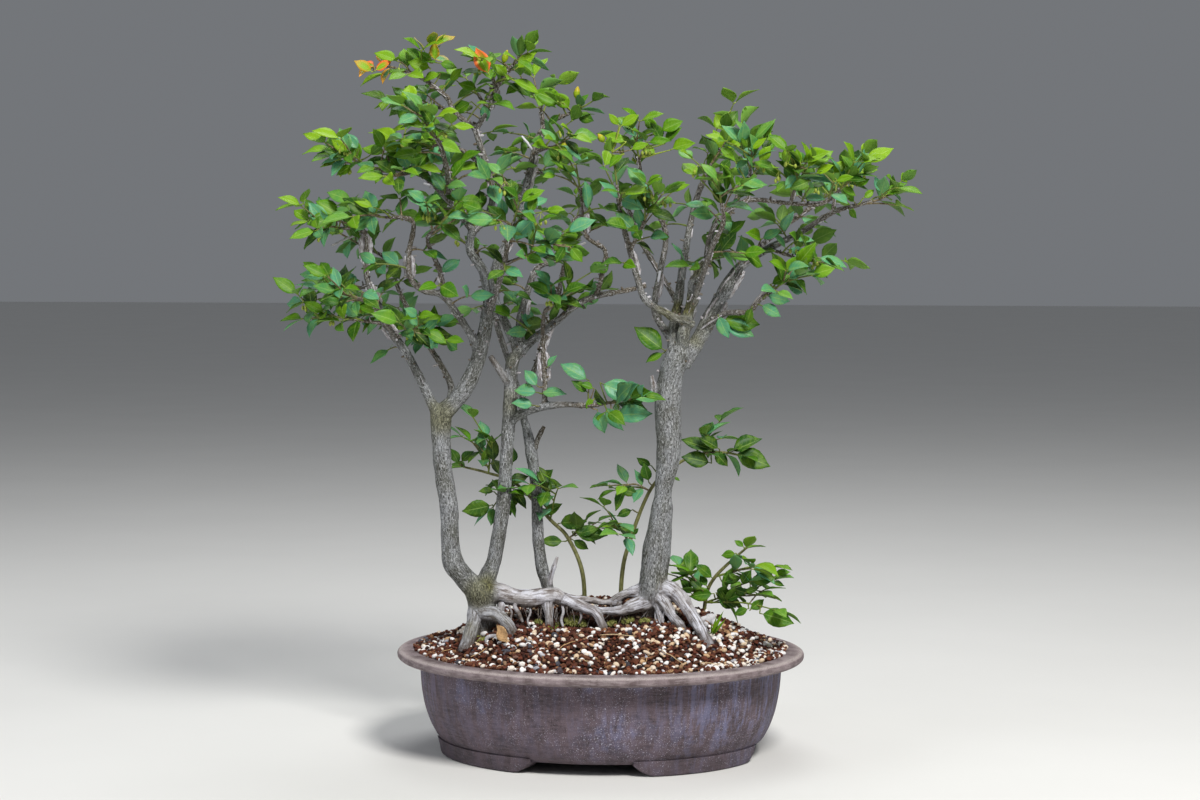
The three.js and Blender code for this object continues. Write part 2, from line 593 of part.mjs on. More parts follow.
function pot() {
  let clay = solidOf(skin(POT_PROFILE.map(([inset, z]) => oval(inset, z))));
  for (let quadrant = 0; quadrant < 4; quadrant++) clay = clay.add(foot(quadrant));
  for (const number of [1, 2]) {
    const drill = new THREE.CylinderGeometry(DRAIN_HOLE_DIAMETER / 2, DRAIN_HOLE_DIAMETER / 2, 30, 20);
    drill.rotateX(Math.PI / 2).translate(drainX(number), 0, FLOOR_TOP - 5);
    clay = clay.subtract(solidOf(drill));
  }
  return clay;
}

function box(width, depth, height, x, y, z) {
  return solidOf(new THREE.BoxGeometry(width, depth, height).translate(x, y, z + height / 2));
}

// Plastic mesh over a drain hole: a plate with rows of square openings
function drainScreen(number) {
  const z = FLOOR_TOP + GAP;
  let plate = box(SCREEN_SIDE, SCREEN_SIDE, SCREEN_THICKNESS, drainX(number), 0, z);
  const pitch = SCREEN_OPENING + SCREEN_BAR;
  for (const i of [-1, 0, 1]) {
    for (const j of [-1, 0, 1]) {
      const x = drainX(number) + i * pitch;
      plate = plate.subtract(box(SCREEN_OPENING, SCREEN_OPENING, 4, x, j * pitch, z - 1));
    }
  }
  return plate;
}

// Wire staple over a screen: across its middle opening, down through the two beside it, out under the floor
function screenWire(number) {
  const reach = SCREEN_OPENING / 2 + SCREEN_BAR + 2;
  const top = FLOOR_TOP + GAP + SCREEN_THICKNESS + GAP + WIRE_DIAMETER / 2;
  const low = FLOOR_UNDERSIDE - GAP - WIRE_DIAMETER / 2;
  const side = [[20, low], [reach + 1, low], [reach, low + 1], [reach, top - 1], [reach - 1, top]];
  const route = [...side.map(([x, z]) => [-x, z]), ...side.reverse()];
  const points = route.map(([x, z]) => new THREE.Vector3(drainX(number) + x, 0, z));
  return stem(points, points.map(() => WIRE_DIAMETER), 4);
}

// Height of the soil: a mound that is highest behind the trunks, with a hollow under the joining roots
function soilHeight(x, y) {
  const halfLength = RIM_HALF_LENGTH - WALL_INSET;
  const halfDepth = RIM_HALF_DEPTH - WALL_INSET;
  const run = y < SOIL_CREST_Y ? halfDepth + SOIL_CREST_Y : halfDepth - SOIL_CREST_Y;
  const fall = Math.abs(x / halfLength) ** 2.6 + Math.abs((y - SOIL_CREST_Y) / run) ** 1.2;
  const hollow = 14 * Math.exp(-(((x + 5) / 62) ** 2) - ((y + 12) / 24) ** 2);
  return SOIL_EDGE + SOIL_RISE * Math.max(0, 1 - fall) - hollow;
}

function soil() {
  const wall = SOIL_PROFILE.map(([inset, z]) => oval(inset, z));
  const cover = [0.88, 0.72, 0.56, 0.4, 0.24, 0.08].map((share, ring) =>
    wall[wall.length - 1].map((edge, j) => {
      const x = edge.x * share;
      const y = edge.y * share;
      return new THREE.Vector3(x, y, soilHeight(x, y) + 2.4 * (chance(ring, j, 2) - 0.5));
    }));
  let body = solidOf(skin([...wall, ...cover]));
  const clear = 2 * GAP + 0.2;
  const trunks = [LIMBS.burl, LIMBS.trunkC, LIMBS.trunkD];
  const stretches = trunks.map((route) => [route, limbSides(route), 0, 3]);
  Object.values(ROOTS).forEach((route) => {
    stretches.push([route, ROOT_SIDES, Math.max(0, route.length - 4), route.length]);
  });
  Object.values(SUCKERS).forEach(({ stem: route }) => stretches.push([route, SUCKER_SIDES, 0, 3]));
  for (const [route, sides, first, last] of stretches) {
    const points = route.map(place);
    const lowest = points[0].z < points[points.length - 1].z ? points[0] : points[points.length - 1];
    lowest.z -= 2 * GAP;
    body = body.subtract(stem(points, route.map((point) => point[3] + clear), sides, first, last));
  }
  for (const number of [1, 2]) {
    const side = SCREEN_SIDE + 2 * GAP;
    const tall = SCREEN_THICKNESS + WIRE_DIAMETER + 4 * GAP;
    body = body.subtract(box(side, side, tall, drainX(number), 0, FLOOR_TOP));
  }
  return body;
}

const bonsai = new THREE.Group();

function addPiece(name, solid, finish) {
  const [color, roughness, metalness] = FINISHES[finish];
  const material = new THREE.MeshStandardMaterial({ color, roughness, metalness });
  const mesh = new THREE.Mesh(geometryOf(solid), material);
  mesh.name = name;
  bonsai.add(mesh);
}

addPiece("pot", pot(), "clay");
for (const number of [1, 2]) {
  addPiece(`drain_screen_${number}`, drainScreen(number), "mesh");
  addPiece(`screen_wire_${number}`, screenWire(number), "wire");
}
addPiece("soil", soil(), "soil");
addPiece("wood", wood(), "bark");
Object.entries(SUCKERS).forEach(([name, row], k) => addPiece(name, sucker(row, 100 + 10 * k), "leaf"));
SPRAYS.forEach((row, index) => {
  addPiece(`spray_${String(index + 1).padStart(2, "0")}`, spray(row, index), "leaf");
});

export default bonsai;
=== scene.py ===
import math
import random

import bpy
import numpy as np
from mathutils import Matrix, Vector, noise


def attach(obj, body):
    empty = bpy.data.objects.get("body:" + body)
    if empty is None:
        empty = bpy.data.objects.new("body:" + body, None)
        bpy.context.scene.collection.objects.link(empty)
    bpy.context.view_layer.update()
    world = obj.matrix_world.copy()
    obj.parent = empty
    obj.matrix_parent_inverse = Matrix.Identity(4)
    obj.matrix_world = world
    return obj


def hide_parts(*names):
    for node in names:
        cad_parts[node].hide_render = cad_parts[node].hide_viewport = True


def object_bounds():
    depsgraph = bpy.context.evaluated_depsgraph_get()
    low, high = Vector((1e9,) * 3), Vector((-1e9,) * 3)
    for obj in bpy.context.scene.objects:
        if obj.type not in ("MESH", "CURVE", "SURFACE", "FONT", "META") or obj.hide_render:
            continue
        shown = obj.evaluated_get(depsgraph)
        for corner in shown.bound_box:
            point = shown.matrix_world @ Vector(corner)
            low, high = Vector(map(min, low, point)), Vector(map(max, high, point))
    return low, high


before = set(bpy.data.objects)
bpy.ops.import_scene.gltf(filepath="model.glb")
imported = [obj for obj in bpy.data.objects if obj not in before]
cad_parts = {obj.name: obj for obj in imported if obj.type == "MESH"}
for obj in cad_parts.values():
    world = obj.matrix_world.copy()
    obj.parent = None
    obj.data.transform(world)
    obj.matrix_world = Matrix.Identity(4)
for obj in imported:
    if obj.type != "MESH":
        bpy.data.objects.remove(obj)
cad_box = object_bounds()

# Winged euonymus bonsai: the fine skin of the wood, the leaves, the soil's grains and the clay pot.
# Every length is in millimetres until a piece is made, +Z up, with the pot standing on z = 0.
# Plant points are written as they line up from the front, from an eye EYE_DISTANCE before the pot:
# x to the right, y into the depth, z up, and a fourth number for the diameter of the wood there.
MM = 0.001
UP = Vector((0, 0, 1))
FRONT = Vector((0, -1, 0))
STRAIGHT = Vector((0, 0, 0))

EYE_DISTANCE = 2500
EYE_HEIGHT = 525
FRONT_TURN = math.radians(8)
EYE_PITCH = math.radians(3.9)
LENS_MM = 75
SENSOR_MM = 36

RIM_HALF_LENGTH = 205.5
RIM_HALF_DEPTH = 175
POT_HEIGHT = 105
POT_STEPS = 160
POT_WOBBLE = 0.5
WALL_INSET = 34
LIP_INSET = 23
FLOOR_UNDERSIDE = 12
FLOOR_TOP = 21
FOOT_OUTER_INSET = 41
FOOT_WIDTH = 24
FOOT_FROM_DEG = 13
FOOT_TO_DEG = 72
FOOT_STEPS = 26
DRAIN_HOLE_DIAMETER = 28
DRAIN_HOLE_OFFSET = 75
SCREEN_OPENING = 8
SCREEN_BAR = 3
SCREEN_THICKNESS = 1.2
WIRE_DIAMETER = 1.4
GAP = 0.35

SOIL_EDGE = 102
SOIL_RISE = 48
SOIL_CREST_Y = 40
SOIL_STEPS = 120
SOIL_RINGS = 44
GRAIN_SPACING = 4.4
GRAIN_RADII = (1.4, 1.7, 2.0, 2.3, 2.6, 3.1)
SPILL_INSET = 17
HAIR_ROOTS = 70

LEAF_LENGTH = 27
LEAF_WIDTH_SHARE = 0.5
LEAF_THICKNESS = 0.36
LEAF_STATIONS = (0.0, 0.08, 0.22, 0.4, 0.58, 0.75, 0.89, 1.0)
LEAF_WIDTHS = (0.04, 0.38, 0.82, 1.0, 0.93, 0.64, 0.25, 0.015)
LEAF_ACROSS = (-1.0, -0.55, 0.0, 0.55, 1.0)
PETIOLE_SHARE = 0.1
SHOOT_DIAMETERS = (2.3, 1.9, 1.3)
INNER_SPACING = 18
CROWN_MIDDLES = ([-140, 10, 500], [110, 10, 500])
CROWN_PARTING_X = 5

WOOD_STEP = 2.5
TWIG_SHARE = 0.46
TWIG_SIDES = 9
TWIG_START_DIAMETER = 3.8
TWIG_END_DIAMETER = 2.9
WING_THICKNESS = 1.3
SKIN_VOXEL = 1.55
THINNEST_SKINNED = 5.2
GRAIN_OFFSET = 61.7
SPUR_SPACING = 7
FLAKE_SPACING = 14
LOWEST_SPUR = 372

# What the bark value holds: share of bleached wood, of moss and of cork
BARE = Vector((1, 0, 0))
CORK = Vector((0, 0, 1))

FLOOR_HALF_M = 15
WORLD_COLOUR = (0.82, 0.86, 0.92, 1)
WORLD_STRENGTH = 0.21

# Lights as name, place and aim in metres, size in metres, watts and colour
LIGHTS = (
    ("key", (1.1, -1.9, 2.4), (0, 0, 0.4), 0.9, 106, (1.0, 0.99, 0.96)),
    ("left", (-2.2, -1.3, 1.4), (0, 0, 0.4), 1.8, 19, (0.9, 0.95, 1.0)),
    ("top", (0.0, 0.9, 2.6), (0, 0, 0.3), 1.6, 25, (0.97, 0.98, 1.0)),
)

LIMBS = {
    "burl": [
        [-116, 8, 110, 26], [-117, 6, 132, 25], [-119, 3, 150, 28], [-121, 2, 162, 31],
        [-122, 1, 172, 27],
    ],
    "trunkA": [
        [-118, 2, 154, 22], [-128, 0, 166, 22], [-139, -2, 178, 20], [-148, -3, 191, 20],
        [-151, -4, 215, 18], [-152, -5, 248, 18], [-158, -7, 290, 18], [-160, -9, 345, 20],
    ],
    "trunkB": [
        [-118, 3, 156, 22], [-113, 6, 176, 17.5], [-106, 7, 196, 14.5], [-97, 8, 252, 14],
        [-94, 8, 298, 12.5], [-90, 8, 350, 13.5], [-88, 8, 390, 12.5], [-80, 8, 406, 11],
    ],
    "trunkC": [
        [-52, 30, 118, 15], [-52, 30, 160, 12], [-58, 30, 184, 12], [-62, 30, 212, 11.5],
        [-64, 30, 262, 11], [-69, 31, 302, 11.5], [-75, 36, 332, 8],
    ],
    "trunkD": [
        [54, 12, 110, 15], [54, 7, 140, 18], [53, 0, 162, 27], [57, 0, 200, 28], [62, 0, 240, 22],
        [64, 0, 264, 16.5], [69, 0, 304, 24], [68, 0, 348, 26], [71, 0, 380, 24], [77, 0, 397, 24],
        [78, 0, 408, 18],
    ],
    "a1": [
        [-160, -9, 340, 18], [-146, -10, 353, 17], [-134, -11, 368, 16.5], [-124, -12, 390, 15],
        [-116, -14, 420, 13.5], [-111, -17, 454, 12], [-116, -19, 482, 9.5], [-130, -20, 505, 8],
        [-126, -20, 527, 8],
    ],
    "a2": [
        [-160, -9, 338, 14], [-169, -12, 352, 10], [-180, -15, 375, 9], [-193, -18, 400, 8.5],
        [-205, -21, 417, 8], [-215, -24, 431, 7.5], [-221, -27, 448, 7], [-231, -30, 470, 6],
        [-234, -31, 488, 5.5], [-235, -32, 522, 5],
    ],
    "a3": [
        [-153, -7, 344, 10], [-149, 4, 366, 7], [-156, 14, 384, 6], [-167, 24, 402, 5.5],
        [-184, 44, 430, 5], [-200, 62, 462, 4.5], [-212, 74, 494, 4],
    ],
    "a4": [
        [-122, -12, 402, 9], [-132, -22, 424, 7.5], [-156, -40, 458, 6.5], [-176, -46, 464, 6],
        [-189, -50, 476, 5.5], [-191, -53, 500, 5], [-187, -55, 533, 4.5],
    ],
    "a4Up": [[-155, -40, 456, 5.5], [-160, -44, 484, 5], [-172, -50, 514, 4]],
    "a5Front": [[-113, -16, 440, 7], [-104, -44, 462, 6], [-96, -68, 490, 5.5], [-91, -86, 518, 4.5]],
    "a6Front": [[-205, -21, 416, 6], [-214, -50, 432, 5.5], [-227, -76, 452, 4.5]],
    "vLeft": [
        [-127, -20, 524, 7.5], [-150, -26, 553, 6.5], [-169, -30, 573, 6], [-182, -32, 583, 5.5],
        [-224, -37, 584, 4],
    ],
    "vFront": [[-150, -26, 552, 5.5], [-152, -54, 580, 5], [-158, -76, 606, 4.5]],
    "vRight": [
        [-126, -20, 523, 7], [-112, -17, 538, 7], [-107, -12, 559, 6.5], [-112, -6, 586, 6],
        [-125, 0, 627, 6],
    ],
    "topLeft": [[-124, 0, 625, 5.5], [-145, -4, 642, 5], [-153, -6, 657, 5], [-180, -9, 677, 4]],
    "topRight": [[-124, 0, 624, 5.5], [-111, 4, 644, 5.5], [-103, 6, 666, 5.5], [-90, 8, 684, 4]],
    "bLeft": [
        [-82, 8, 404, 9], [-96, 11, 434, 8.5], [-105, 14, 458, 8.5], [-103, 15, 490, 9],
        [-82, 14, 531, 8.5], [-76, 14, 554, 8], [-66, 17, 602, 6], [-58, 19, 624, 5],
        [-44, 22, 634, 4],
    ],
    "bLeftInner": [[-77, 14, 553, 6], [-97, 12, 568, 5], [-134, 8, 602, 4]],
    "bBack": [[-76, 14, 552, 6], [-70, 44, 580, 5], [-62, 70, 606, 4.5], [-57, 86, 632, 4]],
    "bMiddle": [
        [-80, 8, 400, 10], [-80, 9, 432, 8], [-74, 10, 458, 7], [-62, 10, 487, 6], [-38, 10, 496, 4.5],
    ],
    "bDiagonal": [
        [-81, 8, 400, 9], [-66, 5, 416, 8], [-46, 0, 431, 7], [-26, -6, 448, 6.5], [-6, -13, 458, 6],
        [30, -22, 465, 4.5], [46, -26, 469, 4],
    ],
    "bRiser": [
        [-4, -13, 457, 5], [2, -16, 480, 4.5], [5, -17, 504, 4.5], [-14, -15, 519, 4],
        [-17, -15, 549, 4],
    ],
    "bSide": [
        [-91, 7, 332, 9], [-76, 2, 342, 8.5], [-56, -6, 348, 8], [-34, -15, 350, 6],
        [-12, -22, 349, 5],
    ],
    "bSideRiser": [[-56, -6, 346, 6], [-55, -8, 372, 5], [-57, -9, 404, 5], [-56, -9, 440, 4]],
    "bStub": [[-89, 8, 366, 9], [-98, 2, 380, 7], [-110, -5, 399, 6]],
    "cLeft": [
        [-75, 36, 329, 7.5], [-82, 50, 362, 7], [-95, 64, 404, 6.5], [-110, 75, 452, 6],
        [-124, 84, 504, 5.5], [-140, 90, 566, 4.5],
    ],
    "cRight": [[-80, 45, 352, 6], [-62, 66, 395, 5.5], [-45, 82, 444, 5], [-30, 94, 522, 4]],
    "cStub": [[-68, 31, 300, 7], [-62, 30, 316, 5], [-56, 30, 328, 4]],
    "cDeadStub": [[-52, 28, 166, 6], [-47, 24, 184, 4.5], [-43, 22, 196, 3]],
    "d1": [
        [75, 0, 390, 13], [73, 4, 420, 10], [78, 8, 452, 9], [84, 12, 496, 7.5], [92, 18, 540, 6],
        [100, 22, 566, 5.5],
    ],
    "d2": [
        [79, 0, 394, 13], [84, -4, 422, 11], [91, -9, 454, 9], [94, -13, 474, 8.5], [107, -17, 494, 8],
        [130, -23, 513, 6],
    ],
    "d2Up": [
        [106, -17, 492, 6], [110, -22, 518, 6], [122, -26, 539, 5.5], [148, -30, 554, 4.5],
        [190, -32, 551, 4], [222, -33, 551, 4],
    ],
    "d3": [
        [82, 2, 390, 17], [98, 6, 414, 15], [107, 8, 431, 14.5], [121, 10, 457, 13.5],
        [140, 12, 488, 10], [168, 13, 506, 7.5], [200, 14, 522, 6], [232, 14, 542, 5],
        [256, 12, 549, 4],
    ],
    "d4": [
        [94, -5, 430, 8], [68, -16, 441, 7], [46, -24, 454, 7], [37, -27, 478, 6.5], [30, -28, 504, 6],
        [21, -28, 538, 4.5],
    ],
    "d5": [
        [74, 3, 412, 9], [57, 10, 437, 7], [55, 14, 456, 6.5], [60, 17, 482, 6.5], [65, 19, 524, 5.5],
        [44, 22, 568, 4.5],
    ],
    "d6": [[102, 6, 424, 8], [124, -6, 441, 6], [148, -18, 443, 5], [160, -26, 455, 4.5]],
    "dBack": [
        [73, 2, 366, 10], [80, 28, 412, 8], [92, 52, 452, 7], [108, 72, 495, 6], [138, 92, 560, 4.5],
    ],
    "dBackLeft": [[87, 42, 436, 6.5], [62, 66, 478, 5.5], [40, 82, 515, 5], [28, 90, 545, 4.5]],
    "dFront": [[90, -8, 444, 7], [102, -38, 478, 6], [112, -62, 508, 5.5], [123, -80, 532, 4.5]],
    "dRightBack": [[138, 12, 484, 7], [160, 40, 508, 5.5], [184, 62, 528, 5], [206, 76, 544, 4.5]],
    "dDeadStub": [[64, 0, 344, 11], [55, -2, 362, 7], [52, -2, 379, 4]],
}

ROOTS = {
    "leftLeg": [
        [-121, 2, 152, 22], [-125, -2, 141, 15.5], [-127, -9, 130, 13], [-131, -18, 118, 13.5],
        [-136, -25, 98, 15],
    ],
    "level": [
        [-124, -2, 144, 14], [-114, -8, 139, 14], [-104, -14, 137, 13.5], [-96, -20, 131, 11],
        [-88, -27, 121, 10], [-80, -33, 98, 10],
    ],
    "levelStub": [[-102, -13, 136, 8], [-100, -14, 143, 6.5], [-99, -14, 150, 5.5]],
    "joining": [
        [-114, 2, 159, 26], [-102, 2, 160, 18.5], [-88, 1, 156, 14.5], [-74, 0, 154, 14],
        [-60, 0, 155, 15], [-48, 0, 157, 15], [-38, -2, 154, 12],
    ],
    "joiningDown": [[-53, 0, 153, 12], [-52, -6, 140, 9.5], [-51, -10, 128, 8], [-51, -14, 104, 7]],
    "lower": [
        [-48, 2, 160, 11], [-38, -2, 154, 12], [-27, -5, 149, 11.5], [-14, -9, 144, 10.5],
        [-4, -13, 139, 9.5], [3, -18, 126, 8.5], [8, -22, 104, 8],
    ],
    "upper": [[-40, 2, 157, 8], [-24, 6, 154, 7], [-8, 8, 152, 6.5], [6, 8, 150, 6.5], [22, 5, 149, 7]],
    "mass": [
        [-14, -8, 144, 7.5], [4, -9, 141.5, 7], [20, -8, 142, 9.5], [34, -6, 146, 14],
        [48, -3, 151, 17],
    ],
    "bridge": [
        [54, 0, 168, 22], [41, 2, 163, 13], [30, 4, 160, 10], [20, 6, 156, 9], [13, 8, 152, 6.5],
    ],
    "rightFront": [
        [56, -2, 164, 20], [70, -7, 163, 17], [79, -13, 157, 14.5], [86, -20, 148, 13],
        [95, -30, 134, 12.5], [104, -42, 118, 12], [114, -54, 94, 11],
    ],
    "rightInner": [
        [58, -5, 158, 16], [66, -13, 148, 11], [72, -19, 138, 9.5], [79, -26, 128, 9],
        [86, -32, 118, 8], [92, -37, 98, 7],
    ],
    "thin": [[56, -6, 152, 9], [60, -12, 138, 5.5], [61, -16, 126, 4.5], [62, -19, 104, 4]],
    "behind": [[-54, 32, 152, 11], [-52, 18, 156, 10.5], [-50, 4, 157, 11]],
    "leftBack": [[-118, 8, 148, 14], [-120, 28, 142, 11], [-123, 48, 130, 9.5], [-126, 62, 98, 9]],
    "rightBack": [[56, 8, 150, 15], [68, 34, 148, 11], [80, 56, 106, 9]],
}

# Wood that shows how it has weathered: 1 for bare bleached root, 0 for bark
BLEACH = {
    "leftLeg": 0.35, "level": 0.45, "levelStub": 0.8, "joining": 0.95, "joiningDown": 0.75,
    "lower": 0.9, "upper": 1.0, "mass": 0.8, "bridge": 0.8, "rightFront": 0.85, "rightInner": 0.75,
    "thin": 0.55, "behind": 0.9, "leftBack": 0.3, "rightBack": 0.5, "cDeadStub": 0.95,
    "dDeadStub": 0.5, "bStub": 0.3,
}

# Corky wings as limb, first and last point, height and number of ridges
WINGS = [
    ["a2", 8, 9, 5.5, 3], ["a2", 6, 7, 3, 2], ["a4", 4, 5, 4, 2], ["vLeft", 2, 3, 5, 2],
    ["topRight", 1, 2, 3.5, 2], ["bLeft", 5, 6, 3.5, 1], ["bRiser", 3, 4, 4, 2],
    ["bSideRiser", 1, 2, 4.5, 2], ["bMiddle", 1, 2, 3.5, 1], ["d2", 3, 4, 3, 1], ["d3", 2, 3, 3.5, 1],
    ["cRight", 1, 2, 3, 2], ["dBack", 1, 2, 3.5, 2],
]

# Smaller corky plates than the large wings, in the same order
CORK_PLATES = [
    ["d3", 2, 3, 3.5, 3], ["d3", 3, 4, 3.5, 3], ["d3", 4, 5, 2.5, 2], ["d6", 0, 1, 4, 2],
    ["d2", 3, 4, 2.5, 2], ["d4", 3, 4, 2.5, 1], ["d5", 2, 3, 2.5, 1], ["d1", 1, 2, 2, 1],
    ["a2", 4, 5, 3, 2], ["d2Up", 2, 3, 2.5, 2],
]

# Bleached dead twigs from the nearest limb as x and z from the front, tip x and z, thickness
DEAD_TWIGS = [
    (150, 446, 165, 463, 4.6), (-193, 564, -209, 578, 4.0), (-20, 500, -14, 512, 2.6),
    (52, 470, 60, 484, 2.8), (-166, 560, -176, 571, 2.6), (96, 474, 90, 490, 2.8),
    (-84, 604, -78, 618, 2.4), (-262, 520, -268, 509, 2.2),
]

# Damp olive patches on the bark: middle, radius and strength
MOSS_PATCHES = [
    ([-160, -12, 338], 26, 0.7), ([-122, -6, 160], 24, 0.75), ([-108, -6, 172], 16, 0.5),
    ([-90, 4, 352], 22, 0.4), ([88, -4, 438], 40, 0.35), ([-100, -20, 130], 22, 0.4),
    ([-130, -16, 120], 16, 0.7), ([-92, 6, 400], 18, 0.4), ([66, -6, 168], 20, 0.4),
    ([86, -8, 450], 16, 0.8), ([97, -14, 488], 18, 0.75), ([76, 4, 446], 12, 0.6),
    ([62, -16, 444], 16, 0.5), ([118, -18, 506], 14, 0.7), ([96, 4, 412], 12, 0.5),
]

# Swellings and old pruning scars: middle, radius and how far they stand out
KNOBS = [
    ([-158, -14, 338], 11, 1.6), ([-146, -10, 188], 12, 1.2), ([-118, -10, 158], 13, 1.8),
    ([-90, 2, 349], 8, 1.5), ([-92, 0, 392], 7, 1.2), ([60, -8, 272], 12, 1.5),
    ([78, -10, 392], 10, 2.0), ([92, -6, 408], 8, 1.8), ([70, -9, 404], 7, 1.6),
    ([110, 2, 434], 7, 1.6), ([56, -10, 168], 12, 1.8), ([-68, 26, 300], 6, 1.0),
    ([-62, 24, 184], 7, 1.0), ([-113, -18, 440], 7, 1.4), ([-82, 4, 420], 6, 1.2),
    ([86, -12, 436], 6, 2.6), ([96, -14, 454], 5, 2.6), ([82, -8, 422], 6, 2.4),
    ([104, 0, 446], 7, 2.6), ([88, -10, 402], 5, 2.2), ([126, 4, 466], 7, 2.4),
    ([70, -14, 434], 6, 2.4), ([-128, -6, 138], 7, 1.4), ([92, -16, 470], 5, 2.4),
    ([100, -18, 484], 5, 2.2), ([76, 2, 442], 5, 2.2), ([58, 10, 440], 5, 2.0),
    ([-112, -12, 140], 6, 1.3), ([-58, -6, 156], 7, 1.6), ([-44, -6, 158], 6, 1.5),
    ([44, -8, 150], 8, 1.6), ([-98, -4, 158], 12, 1.6), ([-82, -4, 154], 12, 2.0),
    ([-68, -4, 154], 12, 2.0), ([-52, -4, 156], 11, 1.4), ([30, -10, 146], 5, 1.2),
    ([70, -12, 164], 7, 1.6), ([82, -18, 158], 6, 1.5), ([-24, -8, 150], 5, 1.3),
]

# Leafy sprays as limb, its point, tip, number of leaf pairs and leaf size
SPRAYS = [
    ["a2", 5, [-298, -28, 436], 3, 0.95], ["a2", 6, [-282, -44, 466], 2, 1],
    ["a2", 7, [-262, 8, 452], 2, 0.9], ["a6Front", 2, [-262, -98, 462], 2, 0.95],
    ["a2", 4, [-176, -62, 424], 2, 0.9], ["a3", 3, [-176, -4, 424], 2, 0.9],
    ["a2", 9, [-290, -36, 534], 2, 1.15], ["a4", 6, [-246, -64, 546], 2, 1],
    ["a3", 6, [-258, 86, 520], 2, 1], ["a3", 4, [-236, 60, 442], 2, 0.9],
    ["vLeft", 4, [-266, -38, 598], 2, 0.95], ["vLeft", 3, [-214, -80, 578], 2, 1],
    ["vLeft", 2, [-208, 4, 616], 2, 1], ["vFront", 2, [-176, -100, 642], 2, 1],
    ["topLeft", 3, [-224, -12, 686], 2, 0.9], ["topLeft", 3, [-166, -16, 706], 2, 1],
    ["topLeft", 1, [-198, 36, 652], 2, 1], ["topRight", 3, [-72, 2, 700], 2, 1.05],
    ["topRight", 2, [-118, -34, 694], 2, 1], ["topRight", 1, [-134, 52, 676], 2, 1],
    ["bLeft", 8, [-8, 18, 652], 2, 0.95], ["bBack", 3, [-66, 98, 676], 2, 1],
    ["bLeft", 6, [-30, -14, 616], 2, 1], ["bLeftInner", 2, [-182, -34, 612], 2, 0.95],
    ["bBack", 1, [-24, 66, 590], 2, 1], ["bRiser", 4, [-24, -46, 590], 2, 0.95],
    ["a5Front", 3, [-80, -106, 552], 2, 1.1], ["a5Front", 2, [-52, -88, 512], 2, 1.2],
    ["a4Up", 2, [-154, -86, 538], 2, 1], ["bMiddle", 4, [-16, 26, 524], 2, 0.9],
    ["bSideRiser", 3, [-36, -32, 462], 2, 0.95], ["cLeft", 5, [-164, 102, 606], 2, 1],
    ["cLeft", 4, [-172, 98, 536], 2, 1], ["cRight", 3, [-14, 106, 556], 2, 1],
    ["bSide", 4, [30, -34, 356], 3, 1.3], ["d3", 8, [290, 8, 560], 2, 1.2],
    ["d3", 7, [238, 44, 580], 2, 1], ["d2Up", 5, [262, -40, 580], 2, 0.95],
    ["d2Up", 4, [200, -66, 592], 2, 1], ["d2Up", 3, [152, -38, 614], 2, 1.05],
    ["d1", 5, [124, 26, 622], 2, 1], ["d5", 5, [32, 16, 624], 2, 0.95],
    ["d4", 5, [12, -30, 602], 2, 0.95], ["d4", 4, [62, -62, 560], 2, 1],
    ["dFront", 3, [118, -108, 574], 2, 1], ["dBack", 4, [150, 104, 612], 2, 1],
    ["dBackLeft", 3, [4, 104, 588], 2, 1], ["dRightBack", 3, [244, 92, 574], 2, 1],
    ["d6", 3, [196, -40, 478], 2, 1.05], ["d3", 5, [224, -14, 492], 2, 1],
]

# Suckers: stem, leaf pairs at its end, and shoots as stem point, tip, leaf pairs and leaf size
SUCKERS = {
    "sucker_behind": {
        "stem": [
            [-16, 34, 112, 5], [-17, 36, 176, 4.5], [-32, 46, 215, 4], [-50, 48, 234, 3.8],
            [-84, 47, 270, 3.2], [-112, 46, 281, 2.8], [-136, 44, 287, 2.2],
        ],
        "pairs": 2,
        "size": 0.9,
        "tone": 0.25,
        "shoots": [
            [2, [-2, 46, 226], 2, 1], [3, [-42, 20, 266], 1, 1.1], [4, [-108, 30, 246], 2, 0.9],
            [5, [-108, 30, 312], 1, 0.9],
        ],
    },
    "sucker_middle": {
        "stem": [
            [20, 26, 112, 5], [22, 26, 176, 4.5], [30, 26, 212, 4.2], [50, 29, 263, 3.6],
            [72, 30, 286, 3.2], [96, 26, 299, 2.8], [122, 20, 302, 2.4], [144, 14, 298, 2],
        ],
        "pairs": 3,
        "size": 1.05,
        "tone": 0.25,
        "shoots": [[2, [10, 18, 228], 1, 0.7], [3, [24, 12, 268], 2, 0.8], [5, [106, 18, 318], 1, 1]],
    },
    "sprout_right": {
        "stem": [[104, 30, 100, 4.5], [106, 28, 150, 4], [116, 26, 176, 3.5], [148, 18, 206, 2.4]],
        "pairs": 1,
        "size": 0.8,
        "tone": 0.45,
        "shoots": [
            [1, [158, 6, 158], 2, 1], [1, [92, 12, 178], 1, 0.95], [1, [178, -16, 142], 2, 1],
            [2, [176, 12, 186], 2, 0.9],
        ],
    },
}

# Sprays whose leaf edges turn orange, and how far
BLUSHING = {14: 1.0, 15: 0.4}

# Above this height a spray keeps only two of its side shoots
OPEN_TOP_Z = 672

# Limbs that carry no leaves of their own
BARE_LIMBS = {
    "burl", "trunkA", "trunkB", "trunkC", "trunkD", "a1", "bStub", "cStub", "cDeadStub", "dDeadStub",
    "dBack",
}

